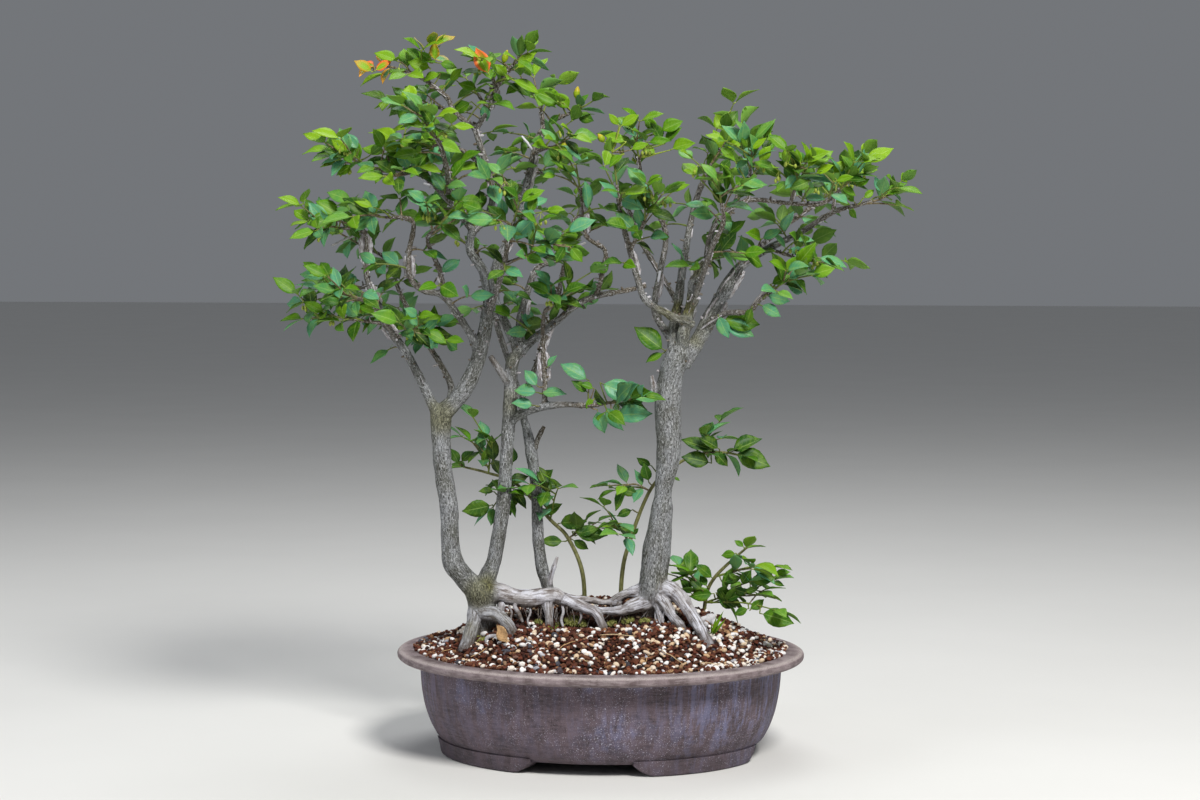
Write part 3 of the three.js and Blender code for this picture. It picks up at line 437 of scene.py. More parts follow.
# Leaves that stand out from the front: base x and z, tip x and z, tone, and orange edge if any
FRONT_LEAVES = {
    "spray_35": [
        (-11, 374, -40, 391, 0.2), (0, 372, 37, 355, 0.25), (-12, 362, -28, 374, 0.3),
        (-9, 358, -13, 345, 0.6), (-5, 357, 5, 350, 0.6), (-3, 345, 4, 321, 0.15),
        (12, 338, 52, 343, 0.15), (-6, 366, -20, 371, 0.5),
    ],
    "spray_31": [
        (-62, 362, -86, 365, 0.25), (-60, 361, -34, 364, 0.25), (-62, 368, -77, 384, 0.2),
        (-53, 387, -44, 400, 0.1), (-66, 349, -88, 354, 0.15),
    ],
    "sucker_middle": [
        (39, 260, 18, 266, 0.2), (33, 244, 17, 237, 0.2), (30, 225, 10, 228, 0.2),
        (33, 218, 38, 226, 0.2), (49, 272, 45, 291, 0.3), (52, 288, 37, 297, 0.2),
        (113, 304, 81, 315, 0.15), (112, 291, 82, 299, 0.15), (114, 304, 128, 287, 0.15),
        (131, 302, 163, 316, 0.2), (134, 301, 172, 291, 0.2), (120, 305, 100, 318, 0.1),
        (74, 277, 80, 273, 0.3),
    ],
    "sucker_behind": [
        (-141, 290, -150, 306, 0.3), (-140, 292, -127, 304, 0.2), (-118, 290, -112, 305, 0.1),
        (-107, 291, -108, 319, 0.05), (-106, 262, -122, 264, 0.1), (-108, 249, -138, 241, 0.25),
        (-88, 290, -86, 307, 0.1), (-92, 270, -72, 279, 0.05), (-90, 262, -76, 250, 0.05),
        (-80, 258, -100, 245, 0.05), (-62, 270, -47, 284, 0.15), (-62, 272, -38, 268, 0.15),
        (-58, 240, -38, 248, 0.15), (-42, 230, -14, 234, 0.2), (-28, 222, 8, 217, 0.3),
        (-36, 212, -60, 212, 0.2), (-28, 214, -12, 203, 0.2), (-24, 218, -2, 226, 0.3),
    ],
    "sprout_right": [
        (114, 174, 97, 190, 0.3), (93, 158, 81, 174, 0.2), (115, 159, 90, 158, 0.4),
        (104, 162, 88, 175, 0.15), (108, 166, 100, 177, 0.35), (137, 172, 130, 182, 0.3),
        (142, 168, 152, 183, 0.35), (151, 171, 177, 177, 0.25), (168, 179, 172, 186, 0.5),
        (175, 180, 192, 180, 0.5), (173, 171, 186, 167, 0.3), (117, 160, 139, 146, 0.25),
        (127, 152, 141, 160, 0.2), (150, 144, 135, 138, 0.35), (151, 142, 165, 154, 0.4),
        (161, 139, 196, 131, 0.4), (89, 156, 88, 149, 0.4), (146, 160, 160, 165, 0.15),
        (145, 206, 136, 214, 0.5), (137, 200, 122, 198, 0.5), (124, 170, 142, 178, 0.2),
        (120, 164, 126, 150, 0.1), (134, 164, 150, 158, 0.1),
    ],
    "spray_15": [(-226, 681, -243, 694, 0.95, 0.45), (-224, 682, -208, 693, 0.9, 1)],
    "spray_16": [
        (-164, 692, -163, 711, 0.8, 0.4), (-166, 690, -180, 703, 0.6), (-160, 690, -142, 686, 0.5),
        (-168, 684, -190, 694, 0.75), (-158, 680, -176, 672, 0.7), (-150, 672, -136, 684, 0.7),
    ],
    "spray_19": [
        (-110, 678, -124, 705, 0.75, 1), (-121, 664, -140, 672, 0.6), (-106, 662, -98, 648, 0.35),
        (-128, 652, -146, 640, 0.5), (-116, 650, -112, 632, 0.2),
    ],
    "spray_18": [
        (-84, 684, -62, 700, 0.85), (-92, 676, -104, 690, 0.8), (-78, 670, -94, 660, 0.6),
        (-84, 672, -70, 656, 0.3),
    ],
    "spray_21": [
        (-30, 644, -44, 662, 0.7), (-24, 640, -6, 632, 0.3), (-40, 640, -52, 628, 0.3),
        (-36, 650, -66, 664, 0.6), (-20, 648, -12, 660, 0.5),
    ],
    "spray_07": [
        (-262, 536, -292, 531, 0.5), (-258, 540, -284, 552, 0.6), (-250, 528, -240, 516, 0.3),
        (-244, 536, -232, 550, 0.3),
    ],
    "spray_11": [
        (-252, 596, -276, 606, 0.4), (-240, 604, -254, 622, 0.2), (-230, 598, -214, 612, 0.3),
        (-246, 590, -262, 578, 0.6),
    ],
    "spray_27": [(-66, 536, -86, 516, 0.25), (-70, 540, -64, 560, 0.35)],
    "spray_28": [
        (-36, 524, -58, 506, 0.2), (-34, 522, -4, 534, 0.15), (-34, 510, -44, 492, 0.3),
        (-46, 506, -66, 498, 0.2), (-30, 508, -18, 492, 0.5),
    ],
    "spray_43": [
        (19, 628, 9, 640, 0.8), (20, 627, 38, 640, 0.8), (26, 612, 4, 618, 0.75),
        (30, 604, 48, 612, 0.7), (24, 600, 8, 588, 0.6),
    ],
    "spray_42": [
        (65, 404, 33, 426, 0.32), (64, 402, 46, 392, 0.4), (58, 622, 44, 637, 0.6),
        (60, 622, 82, 634, 0.6), (62, 612, 52, 632, 0.3), (64, 610, 80, 628, 0.5),
        (70, 604, 94, 614, 0.7), (56, 600, 40, 610, 0.75),
    ],
    "spray_41": [
        (124, 622, 114, 640, 0.9), (125, 622, 136, 644, 0.35), (122, 604, 112, 624, 0.85),
        (126, 602, 142, 618, 0.8), (130, 596, 120, 582, 0.3),
    ],
    "spray_40": [
        (148, 604, 144, 624, 0.35), (150, 604, 166, 616, 0.85), (158, 592, 170, 608, 0.8),
        (148, 596, 136, 586, 0.2), (162, 588, 182, 578, 0.5),
    ],
    "spray_39": [
        (188, 590, 184, 608, 0.85), (200, 590, 196, 606, 0.7), (206, 586, 222, 604, 0.85),
        (214, 580, 232, 590, 0.9), (196, 580, 184, 566, 0.2), (210, 574, 190, 564, 0.3),
    ],
    "spray_38": [
        (232, 580, 244, 594, 0.8), (246, 574, 258, 588, 0.7), (240, 566, 256, 560, 0.5),
        (256, 568, 268, 576, 0.5),
    ],
    "spray_36": [
        (281, 561, 274, 578, 0.1), (284, 559, 306, 571, 0.6), (262, 556, 274, 564, 0.7),
        (254, 552, 244, 562, 0.6), (248, 546, 256, 536, 0.4),
    ],
    "spray_49": [
        (118, 440, 128, 416, 0.15), (121, 434, 160, 434, 0.4), (122, 432, 155, 420, 0.1),
        (160, 450, 182, 440, 0.2), (166, 460, 190, 452, 0.25), (170, 470, 192, 480, 0.4),
        (152, 448, 146, 430, 0.3), (188, 476, 204, 484, 0.2),
    ],
}

# Fat closed end buds: base x and z, tip x and z
CLOSED_BUDS = {
    "spray_21": [(-24, 655, -22, 667), (-38, 602, -34, 615)],
    "spray_18": [(-96, 690, -92, 703)],
    "spray_43": [(4, 612, -2, 620)],
}

# The pot's section as inset from the rim's outline and height, from the foot round to the floor
POT_PROFILE = [
    (47, FLOOR_UNDERSIDE), (40, 17), (33, 30), (27.5, 46), (24, 66), (22.5, 90), (20, 93), (3, 94.5),
    (0, 97), (0, 101.5), (3.5, 104), (16.5, POT_HEIGHT), (21, 103), (26, 98), (30.5, 90),
    (WALL_INSET, 66), (39, 35), (53, FLOOR_TOP),
]

# The soil's side as inset and height, from the floor up
SOIL_WALL = (
    (53.5, FLOOR_TOP + GAP), (39.5, 35.3), (34.4, 66), (31.2, 90), (27.2, 97), (23.5, SOIL_EDGE - 1.5),
)

# Thin roots that loop over the soil, and their thickness
SURFACE_ROOTS = [
    ([(-98, -24, 118), (-100, -27, 115.5), (-108, -29, 116), (-114, -30, 114), (-115, -31, 106)], 4.2),
    ([(-99, -14, 134), (-99, -20, 126), (-97, -25, 117), (-98, -29, 110)], 2.6),
    ([(-84, -4, 150), (-86, -8, 146), (-82, -10, 139), (-78, -12, 130)], 4.5),
    ([(-92, -3, 146), (-89, -8, 140), (-90, -12, 132), (-86, -15, 124)], 2.4),
    ([(-72, -1, 148), (-70, -6, 140), (-73, -9, 132), (-71, -12, 124)], 2.2),
    ([(-38, -3, 148), (-37, -7, 140), (-39, -10, 132), (-36, -13, 122)], 3),
    ([(-20, -6, 141), (-19, -9, 135), (-22, -11, 128)], 2.4),
    ([(74, -20, 134), (74, -26, 124), (75, -31, 114), (74, -34, 104)], 4.2),
    ([(66, -12, 144), (63, -16, 133), (64, -19, 124), (60, -22, 112)], 3),
    ([(58, -4, 148), (56, -9, 137), (58, -13, 127), (54, -15, 118)], 2.6),
]

# Moss on the soil as x and z from the front, and radius
MOSS_CUSHIONS = [
    (-26, 131, 9.5), (-18, 130, 5), (-127, 113, 6), (-119, 112, 4.5), (-62, 130, 5), (12, 130, 5),
    (-40, 128, 4), (28, 133, 6), (45, 132, 5),
]

# Needles and straws on the stones: x, y, length and direction
DRY_NEEDLES = [
    (26, -62, 34, 0.1), (82, -92, 30, -0.6), (-20, -88, 20, 0.8), (-60, -70, 18, 2.2),
    (120, -84, 22, 0.3), (60, -110, 16, 1.2), (-110, -78, 16, 0.4), (-150, -40, 14, 1.0),
    (40, 90, 26, 0.5), (-70, 96, 22, 2.6), (130, 60, 20, 1.9), (-130, 50, 18, 0.2), (0, -118, 14, 2.8),
]

# Tips of the grass tuft's blades as x and z from the front
GRASS_TIPS = (
    (124, 143), (118, 137), (104, 128), (107, 121), (114, 131), (127, 134), (101, 122), (121, 128),
)

# Large pale stones beside the right root as x and z from the front, and radius
PALE_LUMPS = [(103, 132, 4.5), (109, 131, 6), (115, 129, 5), (120, 126, 4), (106, 127, 4)]

# A stone's corners and triangles: the twenty-sided solid
GOLDEN = (1 + 5**0.5) / 2
GRAIN_POINTS = [
    Vector(p).normalized() for p in (
        (-1, GOLDEN, 0), (1, GOLDEN, 0), (-1, -GOLDEN, 0), (1, -GOLDEN, 0), (0, -1, GOLDEN), (0, 1, GOLDEN),
        (0, -1, -GOLDEN), (0, 1, -GOLDEN), (GOLDEN, 0, -1), (GOLDEN, 0, 1), (-GOLDEN, 0, -1),
        (-GOLDEN, 0, 1),
    )
]
GRAIN_FACES = [
    [0, 11, 5], [0, 5, 1], [0, 1, 7], [0, 7, 10], [0, 10, 11], [1, 5, 9], [5, 11, 4], [11, 10, 2],
    [10, 7, 6], [7, 1, 8], [3, 9, 4], [3, 4, 2], [3, 2, 6], [3, 6, 8], [3, 8, 9], [4, 9, 5],
    [2, 4, 11], [6, 2, 10], [8, 6, 7], [9, 8, 1],
]


def place(point):
    """A point given from the front, moved along its sight line to its depth and turned to the pot's axes."""
    x, y, z = point[:3]
    spread = 1 + y / EYE_DISTANCE
    x, z = x * spread, EYE_HEIGHT + (z - EYE_HEIGHT) * spread
    cos, sin = math.cos(FRONT_TURN), math.sin(FRONT_TURN)
    return Vector((x * cos - y * sin, x * sin + y * cos, z))


def seen_from_front(point):
    """The front coordinates that place() turns into the point."""
    cos, sin = math.cos(FRONT_TURN), math.sin(FRONT_TURN)
    x, y = point.x * cos + point.y * sin, point.y * cos - point.x * sin
    spread = 1 + y / EYE_DISTANCE
    return Vector((x / spread, y, EYE_HEIGHT + (point.z - EYE_HEIGHT) / spread))


def chance(i, j, k):
    """A number from 0 to 1 that depends only on the three keys."""
    wave = math.sin(12.9898 * i + 78.233 * j + 37.719 * k + 4.1414) * 43758.5453
    return wave - math.floor(wave)


def between(low, high, share):
    return low + (high - low) * share


def eased(low, high, value):
    """0 below low, 1 above high and a smooth rise between them."""
    share = min(max((value - low) / (high - low), 0), 1)
    return share * share * (3 - 2 * share)


def relief(point, scale, key=0):
    """Soft noise from -1 to 1 with features of about 1 / scale millimetres."""
    return noise.noise(Vector((point[0] * scale + key, point[1] * scale, point[2] * scale)))


def square_to(way, line, share=1):
    """The unit vector of a way with its part along the line taken out, all of it or that share."""
    return (way - line * way.dot(line) * share).normalized()


class Shape:
    """The points, faces and values of one piece. Each value is a vector held by every point."""

    def __init__(self, *names):
        self.points = []
        self.faces = []
        self.slots = []
        self.values = {name: [] for name in names}

    def add(self, points, faces, slot=0, **values):
        first = len(self.points)
        self.points.extend(points)
        self.faces.extend([first + corner for corner in face] for face in faces)
        self.slots.extend([slot] * len(faces))
        for name, column in self.values.items():
            value = values[name]
            column.extend(value if isinstance(value, list) else [value] * len(points))


def add_object(name, data):
    body = bpy.data.objects.new(name, data)
    bpy.context.scene.collection.objects.link(body)
    return body


def make_mesh(name, points, faces):
    mesh = bpy.data.meshes.new(name)
    mesh.from_pydata([tuple(MM * number for number in point) for point in points], [], faces)
    return mesh


def applied(body):
    """The body's mesh as its modifiers leave it."""
    return bpy.data.meshes.new_from_object(body.evaluated_get(bpy.context.evaluated_depsgraph_get()))


def make_piece(name, shape, materials, nodes=(), smooth=True):
    """The shape as a Blender object that rides on the root body and stands for the CAD nodes."""
    mesh = make_mesh(name, shape.points, shape.faces)
    for key, column in shape.values.items():
        attribute = mesh.attributes.new(key, "FLOAT_VECTOR", "POINT")
        attribute.data.foreach_set("vector", np.array(column, np.float32).ravel())
    for material in materials:
        mesh.materials.append(material)
    mesh.polygons.foreach_set("material_index", shape.slots)
    mesh.polygons.foreach_set("use_smooth", [smooth] * len(shape.faces))
    mesh.update()
    piece = add_object(name, mesh)
    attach(piece, "root")
    if nodes:
        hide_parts(*nodes)


# Routes


def route_length(points):
    return sum((b - a).length for a, b in zip(points, points[1:]))


def smooth_route(points, diameters, step):
    """Points and diameters on a curve through a route, about a step apart."""
    last = len(points) - 1
    curve, widths = [], []
    for i in range(last):
        a, b, c, d = (points[min(max(j, 0), last)] for j in (i - 1, i, i + 1, i + 2))
        count = max(1, round((c - b).length / step))
        for k in range(count):
            t = k / count
            curve.append(
                b + (c - a) * (t / 2) + (a * 2 - b * 5 + c * 4 - d) * (t * t / 2)
                + (b * 3 - a - c * 3 + d) * (t**3 / 2)
            )
            widths.append(between(diameters[i], diameters[i + 1], t * t * (3 - 2 * t)))
    return curve + [points[-1]], widths + [diameters[-1]]


def bent(start, end, rise, share=0.5):
    """A route whose middle point is lifted off the line from start to end."""
    return [start, start.lerp(end, share) + UP * rise, end]


def frames(points):
    """The tangent at each point and two cross directions that turn as little as can be."""
    last = len(points) - 1
    tangents = [(points[min(i + 1, last)] - points[max(i - 1, 0)]).normalized() for i in range(last + 1)]
    side = UP if abs(tangents[0].z) < 0.8 else FRONT
    result = []
    for tangent in tangents:
        side = square_to(side, tangent)
        result.append((tangent, side, tangent.cross(side)))
    return result


def along_route(points, share):
    """The point at a share of a route's length, and the way it runs there."""
    lengths = [(b - a).length for a, b in zip(points, points[1:])]
    rest = share * sum(lengths)
    i = 0
    while i + 1 < len(lengths) and rest > lengths[i]:
        rest -= lengths[i]
        i += 1
    return points[i].lerp(points[i + 1], rest / lengths[i]), (points[i + 1] - points[i]).normalized()


def spots_along(points, diameters, spacing, key, draw):
    """Spots about a spacing apart along a route, each as number, point, tangent and radius."""
    length = route_length(points)
    spots = []
    for k in range(int(length / spacing)):
        start, tangent = along_route(points, (k + chance(key, k, draw)) * spacing / length)
        near = min(range(len(points)), key=lambda i: (points[i] - start).length)
        if start.z >= LOWEST_SPUR:
            spots.append((k, start, tangent, diameters[near] / 2))
    return spots


def nearest_on(routes, x, z):
    """The point of the routes that lies nearest a spot as seen from the front."""
    best, least = None, None
    for points in routes:
        for a, b in zip(points, points[1:]):
            for k in range(9):
                point = a.lerp(b, k / 8)
                front = seen_from_front(point)
                apart = math.hypot(front.x - x, front.z - z)
                if least is None or apart < least:
                    best, least = point, apart
    return best


def tube_faces(rings, sides):
    """The quads between rings, and a face at each end."""
    faces = []
    for i in range(rings - 1):
        for j in range(sides):
            a, b = i * sides + j, i * sides + (j + 1) % sides
            faces.append([a, b, b + sides, a + sides])
    last = (rings - 1) * sides
    faces.append(list(reversed(range(sides))))
    faces.append(list(range(last, last + sides)))
    return faces


def add_tube(shape, points, diameters, sides, slot=0, **values):
    rings = []
    for point, diameter, (_, side, across) in zip(points, diameters, frames(points)):
        for j in range(sides):
            angle = 2 * math.pi * j / sides
            rings.append(point + (side * math.cos(angle) + across * math.sin(angle)) * (diameter / 2))
    shape.add(rings, tube_faces(len(points), sides), slot, **values)


def end_spray(name):
    """The number of the spray that goes on from a limb's last point, if one does."""
    ends = [i for i, row in enumerate(SPRAYS) if row[0] == name and row[1] == len(LIMBS[name]) - 1]
    return ends[0] if ends else None


def twig_and_shoot(index):
    """The twig from a limb's point and the green shoot that goes on from its end to the tip."""
    limb, point, tip = SPRAYS[index][:3]
    start, end = place(LIMBS[limb][point]), place(tip)
    along = end - start
    joint = start + along * TWIG_SHARE
    joint.z += along.length * 0.1 * (chance(index, 1, 1) - 0.4)
    way = (joint - start).normalized()
    return [start, joint], [joint + way * GAP, joint + way * along.length * 0.16, end]


def limb_route(name):
    """A limb's points and diameters, and on to the joint where its last spray begins."""
    points = [place(point) for point in LIMBS[name]]
    diameters = [point[3] for point in LIMBS[name]]
    index = end_spray(name)
    if index is not None:
        points.append(twig_and_shoot(index)[0][1])
        diameters.append(TWIG_END_DIAMETER)
    return points, diameters


def wood_routes():
    """Every limb, root and twig as name, points and diameters."""
    routes = [(name, *limb_route(name)) for name in LIMBS]
    routes += [(name, [place(p) for p in route], [p[3] for p in route]) for name, route in ROOTS.items()]
    for index, row in enumerate(SPRAYS):
        if end_spray(row[0]) != index:
            thick = min(LIMBS[row[0]][row[1]][3] * 0.8, TWIG_START_DIAMETER)
            routes.append((f"twig{index}", twig_and_shoot(index)[0], [thick, TWIG_END_DIAMETER]))
    return routes


# Wood: thick limbs and roots in one skin, thin ones as tubes that grow out of it


def mossy(point, patches):
    return min(1, sum(
        strength * (1 - eased(0.3, 1, (point - middle).length / radius))
        for middle, radius, strength in patches
    ))


def soil_dirt_and_shade(point, normal):
    """How dark the wood is painted: soil dirt close to the soil it stands in, which in the hollow under the
    joining roots also stands for painted shade, and painted shade on the undersides of low roots.
    """
    above = point.z - soil_height(point.x, point.y)
    near = 1 - eased(1, 11, above + 4 * relief(point, 0.2))
    # Painted shade: darker where the wood faces down, up to about 30 to 45 mm above the soil
    below = eased(-0.1, 0.9, -normal.z) * (1 - eased(30, 45, above))
    return max(near, 0.9 * below)


def spread_out(values, faces, rounds):
    """The values of a skin's points, each round made the mean of its neighbours' and its own."""
    edges = np.array([(a, b) for face in faces for a, b in zip(face, face[1:] + face[:1])])
    for _ in range(rounds):
        total, count = values.copy(), np.ones(len(values))
        np.add.at(total, edges[:, 0], values[edges[:, 1]])
        np.add.at(count, edges[:, 0], 1)
        values = total / count
    return values


def skin_samples():
    """Sections every few millimetres along the thick wood, and the tubes that the skin is made from."""
    draft = Shape()
    samples = []
    for key, (name, points, diameters) in enumerate(wood_routes()):
        curve, widths = smooth_route(points, diameters, WOOD_STEP)
        while widths and widths[-1] < THINNEST_SKINNED:
            curve.pop()
            widths.pop()
        if len(curve) < 3:
            continue
        run = 0
        for i, (point, width, (_, side, across)) in enumerate(zip(curve, widths, frames(curve))):
            run += (point - curve[i - 1]).length if i else 0
            bare = BLEACH.get(name, 0) * (eased(0, 14, run) if name == "joining" else 1)
            samples.append((*point, width / 2, *side, *across, run, key * GRAIN_OFFSET, bare))
        swollen = [width + 0.5 for width in widths]
        add_tube(draft, curve, swollen, max(10, round(widths[0] * 1.3)))
    return draft, np.array(samples)


def fused(draft):
    """The draft's tubes as one closed skin: its points, its normals and its faces, in millimetres."""
    body = add_object("draft", make_mesh("draft", draft.points, draft.faces))
    remesh = body.modifiers.new("skin", "REMESH")
    remesh.mode = "VOXEL"
    remesh.voxel_size = SKIN_VOXEL * MM
    soften = body.modifiers.new("soften", "SMOOTH")
    soften.factor = 0.5
    soften.iterations = 3
    skin = applied(body)
    points = np.empty(len(skin.vertices) * 3)
    normals = np.empty(len(skin.vertices) * 3)
    skin.vertices.foreach_get("co", points)
    skin.vertices.foreach_get("normal", normals)
    faces = [list(face.vertices) for face in skin.polygons]
    rough = body.data
    bpy.data.objects.remove(body)
    bpy.data.meshes.remove(rough)
    bpy.data.meshes.remove(skin)
    return points.reshape(-1, 3) / MM, normals.reshape(-1, 3), faces


def nearest_sections(points, samples):
    """For each point, the row of the section whose surface it lies on."""
    nearest = []
    for chunk in np.array_split(points, max(1, len(points) // 4000)):
        apart = np.linalg.norm(chunk[:, None, :] - samples[None, :, :3], axis=2) - samples[None, :, 3]
        nearest.append(samples[apart.argmin(axis=1)])
    return np.concatenate(nearest)


def thick_wood():
    """The skin of trunks, roots and thick limbs, with bark relief and the values its bark is painted by."""
    draft, samples = skin_samples()
    points, normals, faces = fused(draft)
    rows = nearest_sections(points, samples)
    away = points - rows[:, :3]
    across = np.stack([(away * rows[:, 4:7]).sum(1), (away * rows[:, 7:10]).sum(1)], axis=1)
    shape = Shape("grain", "bark", "girth")
    knobs = [(place(middle), radius, height) for middle, radius, height in KNOBS]
    patches = [(place(middle), radius, strength) for middle, radius, strength in MOSS_PATCHES]
    bleached = spread_out(rows[:, 12], faces, 14)
    moved, grain, bark, girth = [], [], [], []
    for point, normal, row, (u, v), bleach in zip(points, normals, rows, across, bleached):
        point, normal = Vector(point), Vector(normal)
        radius, run, offset = row[3], row[10], row[11]
        at = Vector((u + offset, v, run))
        lumps = relief(point, 0.055) * 0.06 * radius + relief(point, 0.12, 5) * bleach
        furrows = noise.noise(Vector((at.x * 0.4, at.y * 0.4, at.z * 0.11 + 0.4 * relief(point, 0.1, 9))))
        grit = noise.noise(Vector((at.x * 0.6, at.y * 0.6, at.z * 0.3)))
        crown = 0.65 * eased(375, 425, point.z)
        depth = max(between(0.3, 0.95, bleach), crown) * eased(1, 6, radius)
        knob = sum(
            height * math.exp(-((point - middle).length / reach) ** 2) for middle, reach, height in knobs
        )
        moved.append(point + normal * (lumps + depth * (furrows * 1.3 + grit * 0.5) + knob))
        grain.append(at)
        bark.append((bleach, mossy(point, patches), 0))
        girth.append((radius * 2, furrows, soil_dirt_and_shade(point, normal)))
    shape.add(moved, faces, grain=grain, bark=bark, girth=girth)
    return shape


def add_thin_wood(shape, name, points, diameters, key):
    """The thin end of a limb or a twig: a tube with the swollen joints of old leaf pairs."""
    curve, widths = smooth_route(points, diameters, 2.2)
    thin = next((i for i, width in enumerate(widths) if width < THINNEST_SKINNED), None)
    if thin is None:
        return
    thin = max(0, thin - 4)
    curve, widths = curve[thin:], widths[thin:]
    rings, grain, girth = [], [], []
    run = 0
    for i, (point, width, (_, side, across)) in enumerate(zip(curve, widths, frames(curve))):
        run += (point - curve[i - 1]).length if i else 0
        joint = math.exp(-(((run + 7 * chance(key, 1, 2)) % 17 - 8.5) / 1.6) ** 2)
        radius = width / 2 * (1 + 0.28 * joint)
        for j in range(TWIG_SIDES):
            angle = 2 * math.pi * j / TWIG_SIDES
            cos, sin = math.cos(angle), math.sin(angle)
            out = side * cos + across * sin
            rings.append(point + out * (radius * (1 + 0.14 * relief(point + out * radius, 0.35))))
            grain.append(Vector((cos * radius + key * GRAIN_OFFSET, sin * radius, run)))
            girth.append((width, 0, 0))
    bark = Vector((BLEACH.get(name, 0), 0, 0))
    shape.add(rings, tube_faces(len(curve), TWIG_SIDES), grain=grain, bark=bark, girth=girth)


def add_plate(shape, sections, low, thin, thick):
    """A corky plate on a limb. A section is its middle, ways out and sideways, bow, top and run."""
    rings, grain = [], []
    for middle, out, flank, bow, top, run in sections:
        for reach, offset in ((top, -thin), (top, thin), (low, thick), (low, -thick)):
            rings.append(middle + out * reach + flank * offset + bow * (reach / top))
            grain.append(Vector((reach * 2, offset, run)))
    shape.add(rings, tube_faces(len(sections), 4), grain=grain, bark=CORK, girth=Vector((6, 0, 0)))


def add_wing(shape, name, first, last, height, turn, key):
    """One corky ridge along a stretch of a limb: a thin broken plate, lower at both its ends."""
    start, end = place(LIMBS[name][first]), place(LIMBS[name][last])
    radius = (LIMBS[name][first][3] + LIMBS[name][last][3]) / 4
    steps = 14
    points = [start.lerp(end, between(0.04, 0.96, i / steps)) for i in range(steps + 1)]
    sections = []
    for i, (point, (_, side, across)) in enumerate(zip(points, frames(points))):
        share = i / steps
        out = side * math.cos(turn) + across * math.sin(turn)
        flank = across * math.cos(turn) - side * math.sin(turn)
        rise = min(1, 4 * share + 0.3, 4 * (1 - share) + 0.35) * between(0.72, 1.08, chance(i, key, 5))
        bow = flank * (0.8 * math.sin(5 * share + key))
        run = share * (end - start).length + key * 13
        sections.append((point, out, flank, bow, radius + height * rise, run))
    half = WING_THICKNESS / 2
    add_plate(shape, sections, radius * 0.4, half * 0.6, half)


def add_spurs(shape, points, diameters, key):
    """Short stumps of shed twigs and bud scars along a limb of the crown."""
    for k, start, tangent, radius in spots_along(points, diameters, SPUR_SPACING, key, 71):
        turn = 2 * math.pi * chance(key, k, 72)
        out = Vector((math.cos(turn), math.sin(turn), between(-0.2, 0.9, chance(key, k, 73))))
        out = square_to(out, tangent, 0.8)
        reach = radius * 0.9 + between(1.2, 5.5, chance(key, k, 74) ** 2)
        thick = between(1.5, 2.6, chance(key, k, 75)) * eased(0, 3, radius)
        ends = [start + out * (radius * 0.4), start + out * (reach - 0.6), start + out * reach]
        at = Vector((key * 7 + k, 0, 0))
        pale = Vector((0.75 * eased(0.6, 0.9, chance(key, k, 76)), 0, eased(0.75, 0.8, chance(key, k, 77))))
        widths = [thick * 1.5, thick, thick * 0.6]
        add_tube(shape, ends, widths, 6, grain=at, bark=pale, girth=Vector((4, 0, 0)))


def add_flakes(shape, points, diameters, key, missing):
    """Broken bits of corky wing that stand along thin wood."""
    for k, start, tangent, radius in spots_along(points, diameters, FLAKE_SPACING, key, 81):
        if chance(key, k, 82) < missing:
            continue
        turn = 2 * math.pi * chance(key, k, 83)
        side = square_to(Vector((math.cos(turn), math.sin(turn), 0.2)), tangent)
        half = between(2.5, 6, chance(key, k, 84))
        top = radius + between(0.9, 2.2, chance(key, k, 85))
        flank = tangent.cross(side) * 0.5
        sections = []
        for step in range(6):
            at = start + tangent * (half * (step / 2.5 - 1))
            rise = between(radius, top, between(0.35, 1, chance(key, k * 6 + step, 86)))
            sections.append((at, side, flank, STRAIGHT, rise, step * 2.0 + key))
        add_plate(shape, sections, radius * 0.4, 0.5, 1)


def thin_wood():
    shape = Shape("grain", "bark", "girth")
    for key, (name, points, diameters) in enumerate(wood_routes()):
        add_thin_wood(shape, name, points, diameters, key)
        if name in ROOTS:
            continue
        add_spurs(shape, points, diameters, key)
        add_flakes(shape, points, diameters, key, 0.25 if name.startswith("d") else 0.45)
    for key, (name, first, last, height, ridges) in enumerate(WINGS + CORK_PLATES):
        turn = math.pi / 2 + 0.6 * (chance(first, height, ridges) - 0.5)
        for k in range(ridges):
            add_wing(shape, name, first, last, height, turn + 2 * math.pi * k / ridges, key + k)
    limbs = [[place(point) for point in route] for route in LIMBS.values()]
    for x, z, tip_x, tip_z, thick in DEAD_TWIGS:
        start = nearest_on(limbs, x, z)
        tip = place((tip_x, seen_from_front(start).y - 5, tip_z))
        ends = [start, start.lerp(tip, 0.5) + UP, start.lerp(tip, 0.96), tip]
        widths = [thick, thick, thick * 0.9, 1]
        add_tube(shape, ends, widths, 7, grain=Vector((x, 0, 0)), bark=BARE, girth=STRAIGHT)
    return shape


# Leaves


def leaf_faces():
    """Quads of a leaf's upper side, its under side and the thin edge that joins them."""
    rows, columns = len(LEAF_STATIONS), len(LEAF_ACROSS)
    count = rows * columns
    upper = [
        [i * columns + j, (i + 1) * columns + j, (i + 1) * columns + j + 1, i * columns + j + 1]
        for i in range(rows - 1) for j in range(columns - 1)
    ]
    under = [[count + corner for corner in reversed(face)] for face in upper]
    edge = [i * columns for i in range(rows)] + [(rows - 1) * columns + j for j in range(1, columns)]
    edge += [i * columns + columns - 1 for i in range(rows - 2, -1, -1)] + list(range(columns - 2, 0, -1))
    rim = [[b, a, count + a, count + b] for a, b in zip(edge, edge[1:] + edge[:1])]
    return upper + under + rim


LEAF_FACES = leaf_faces()


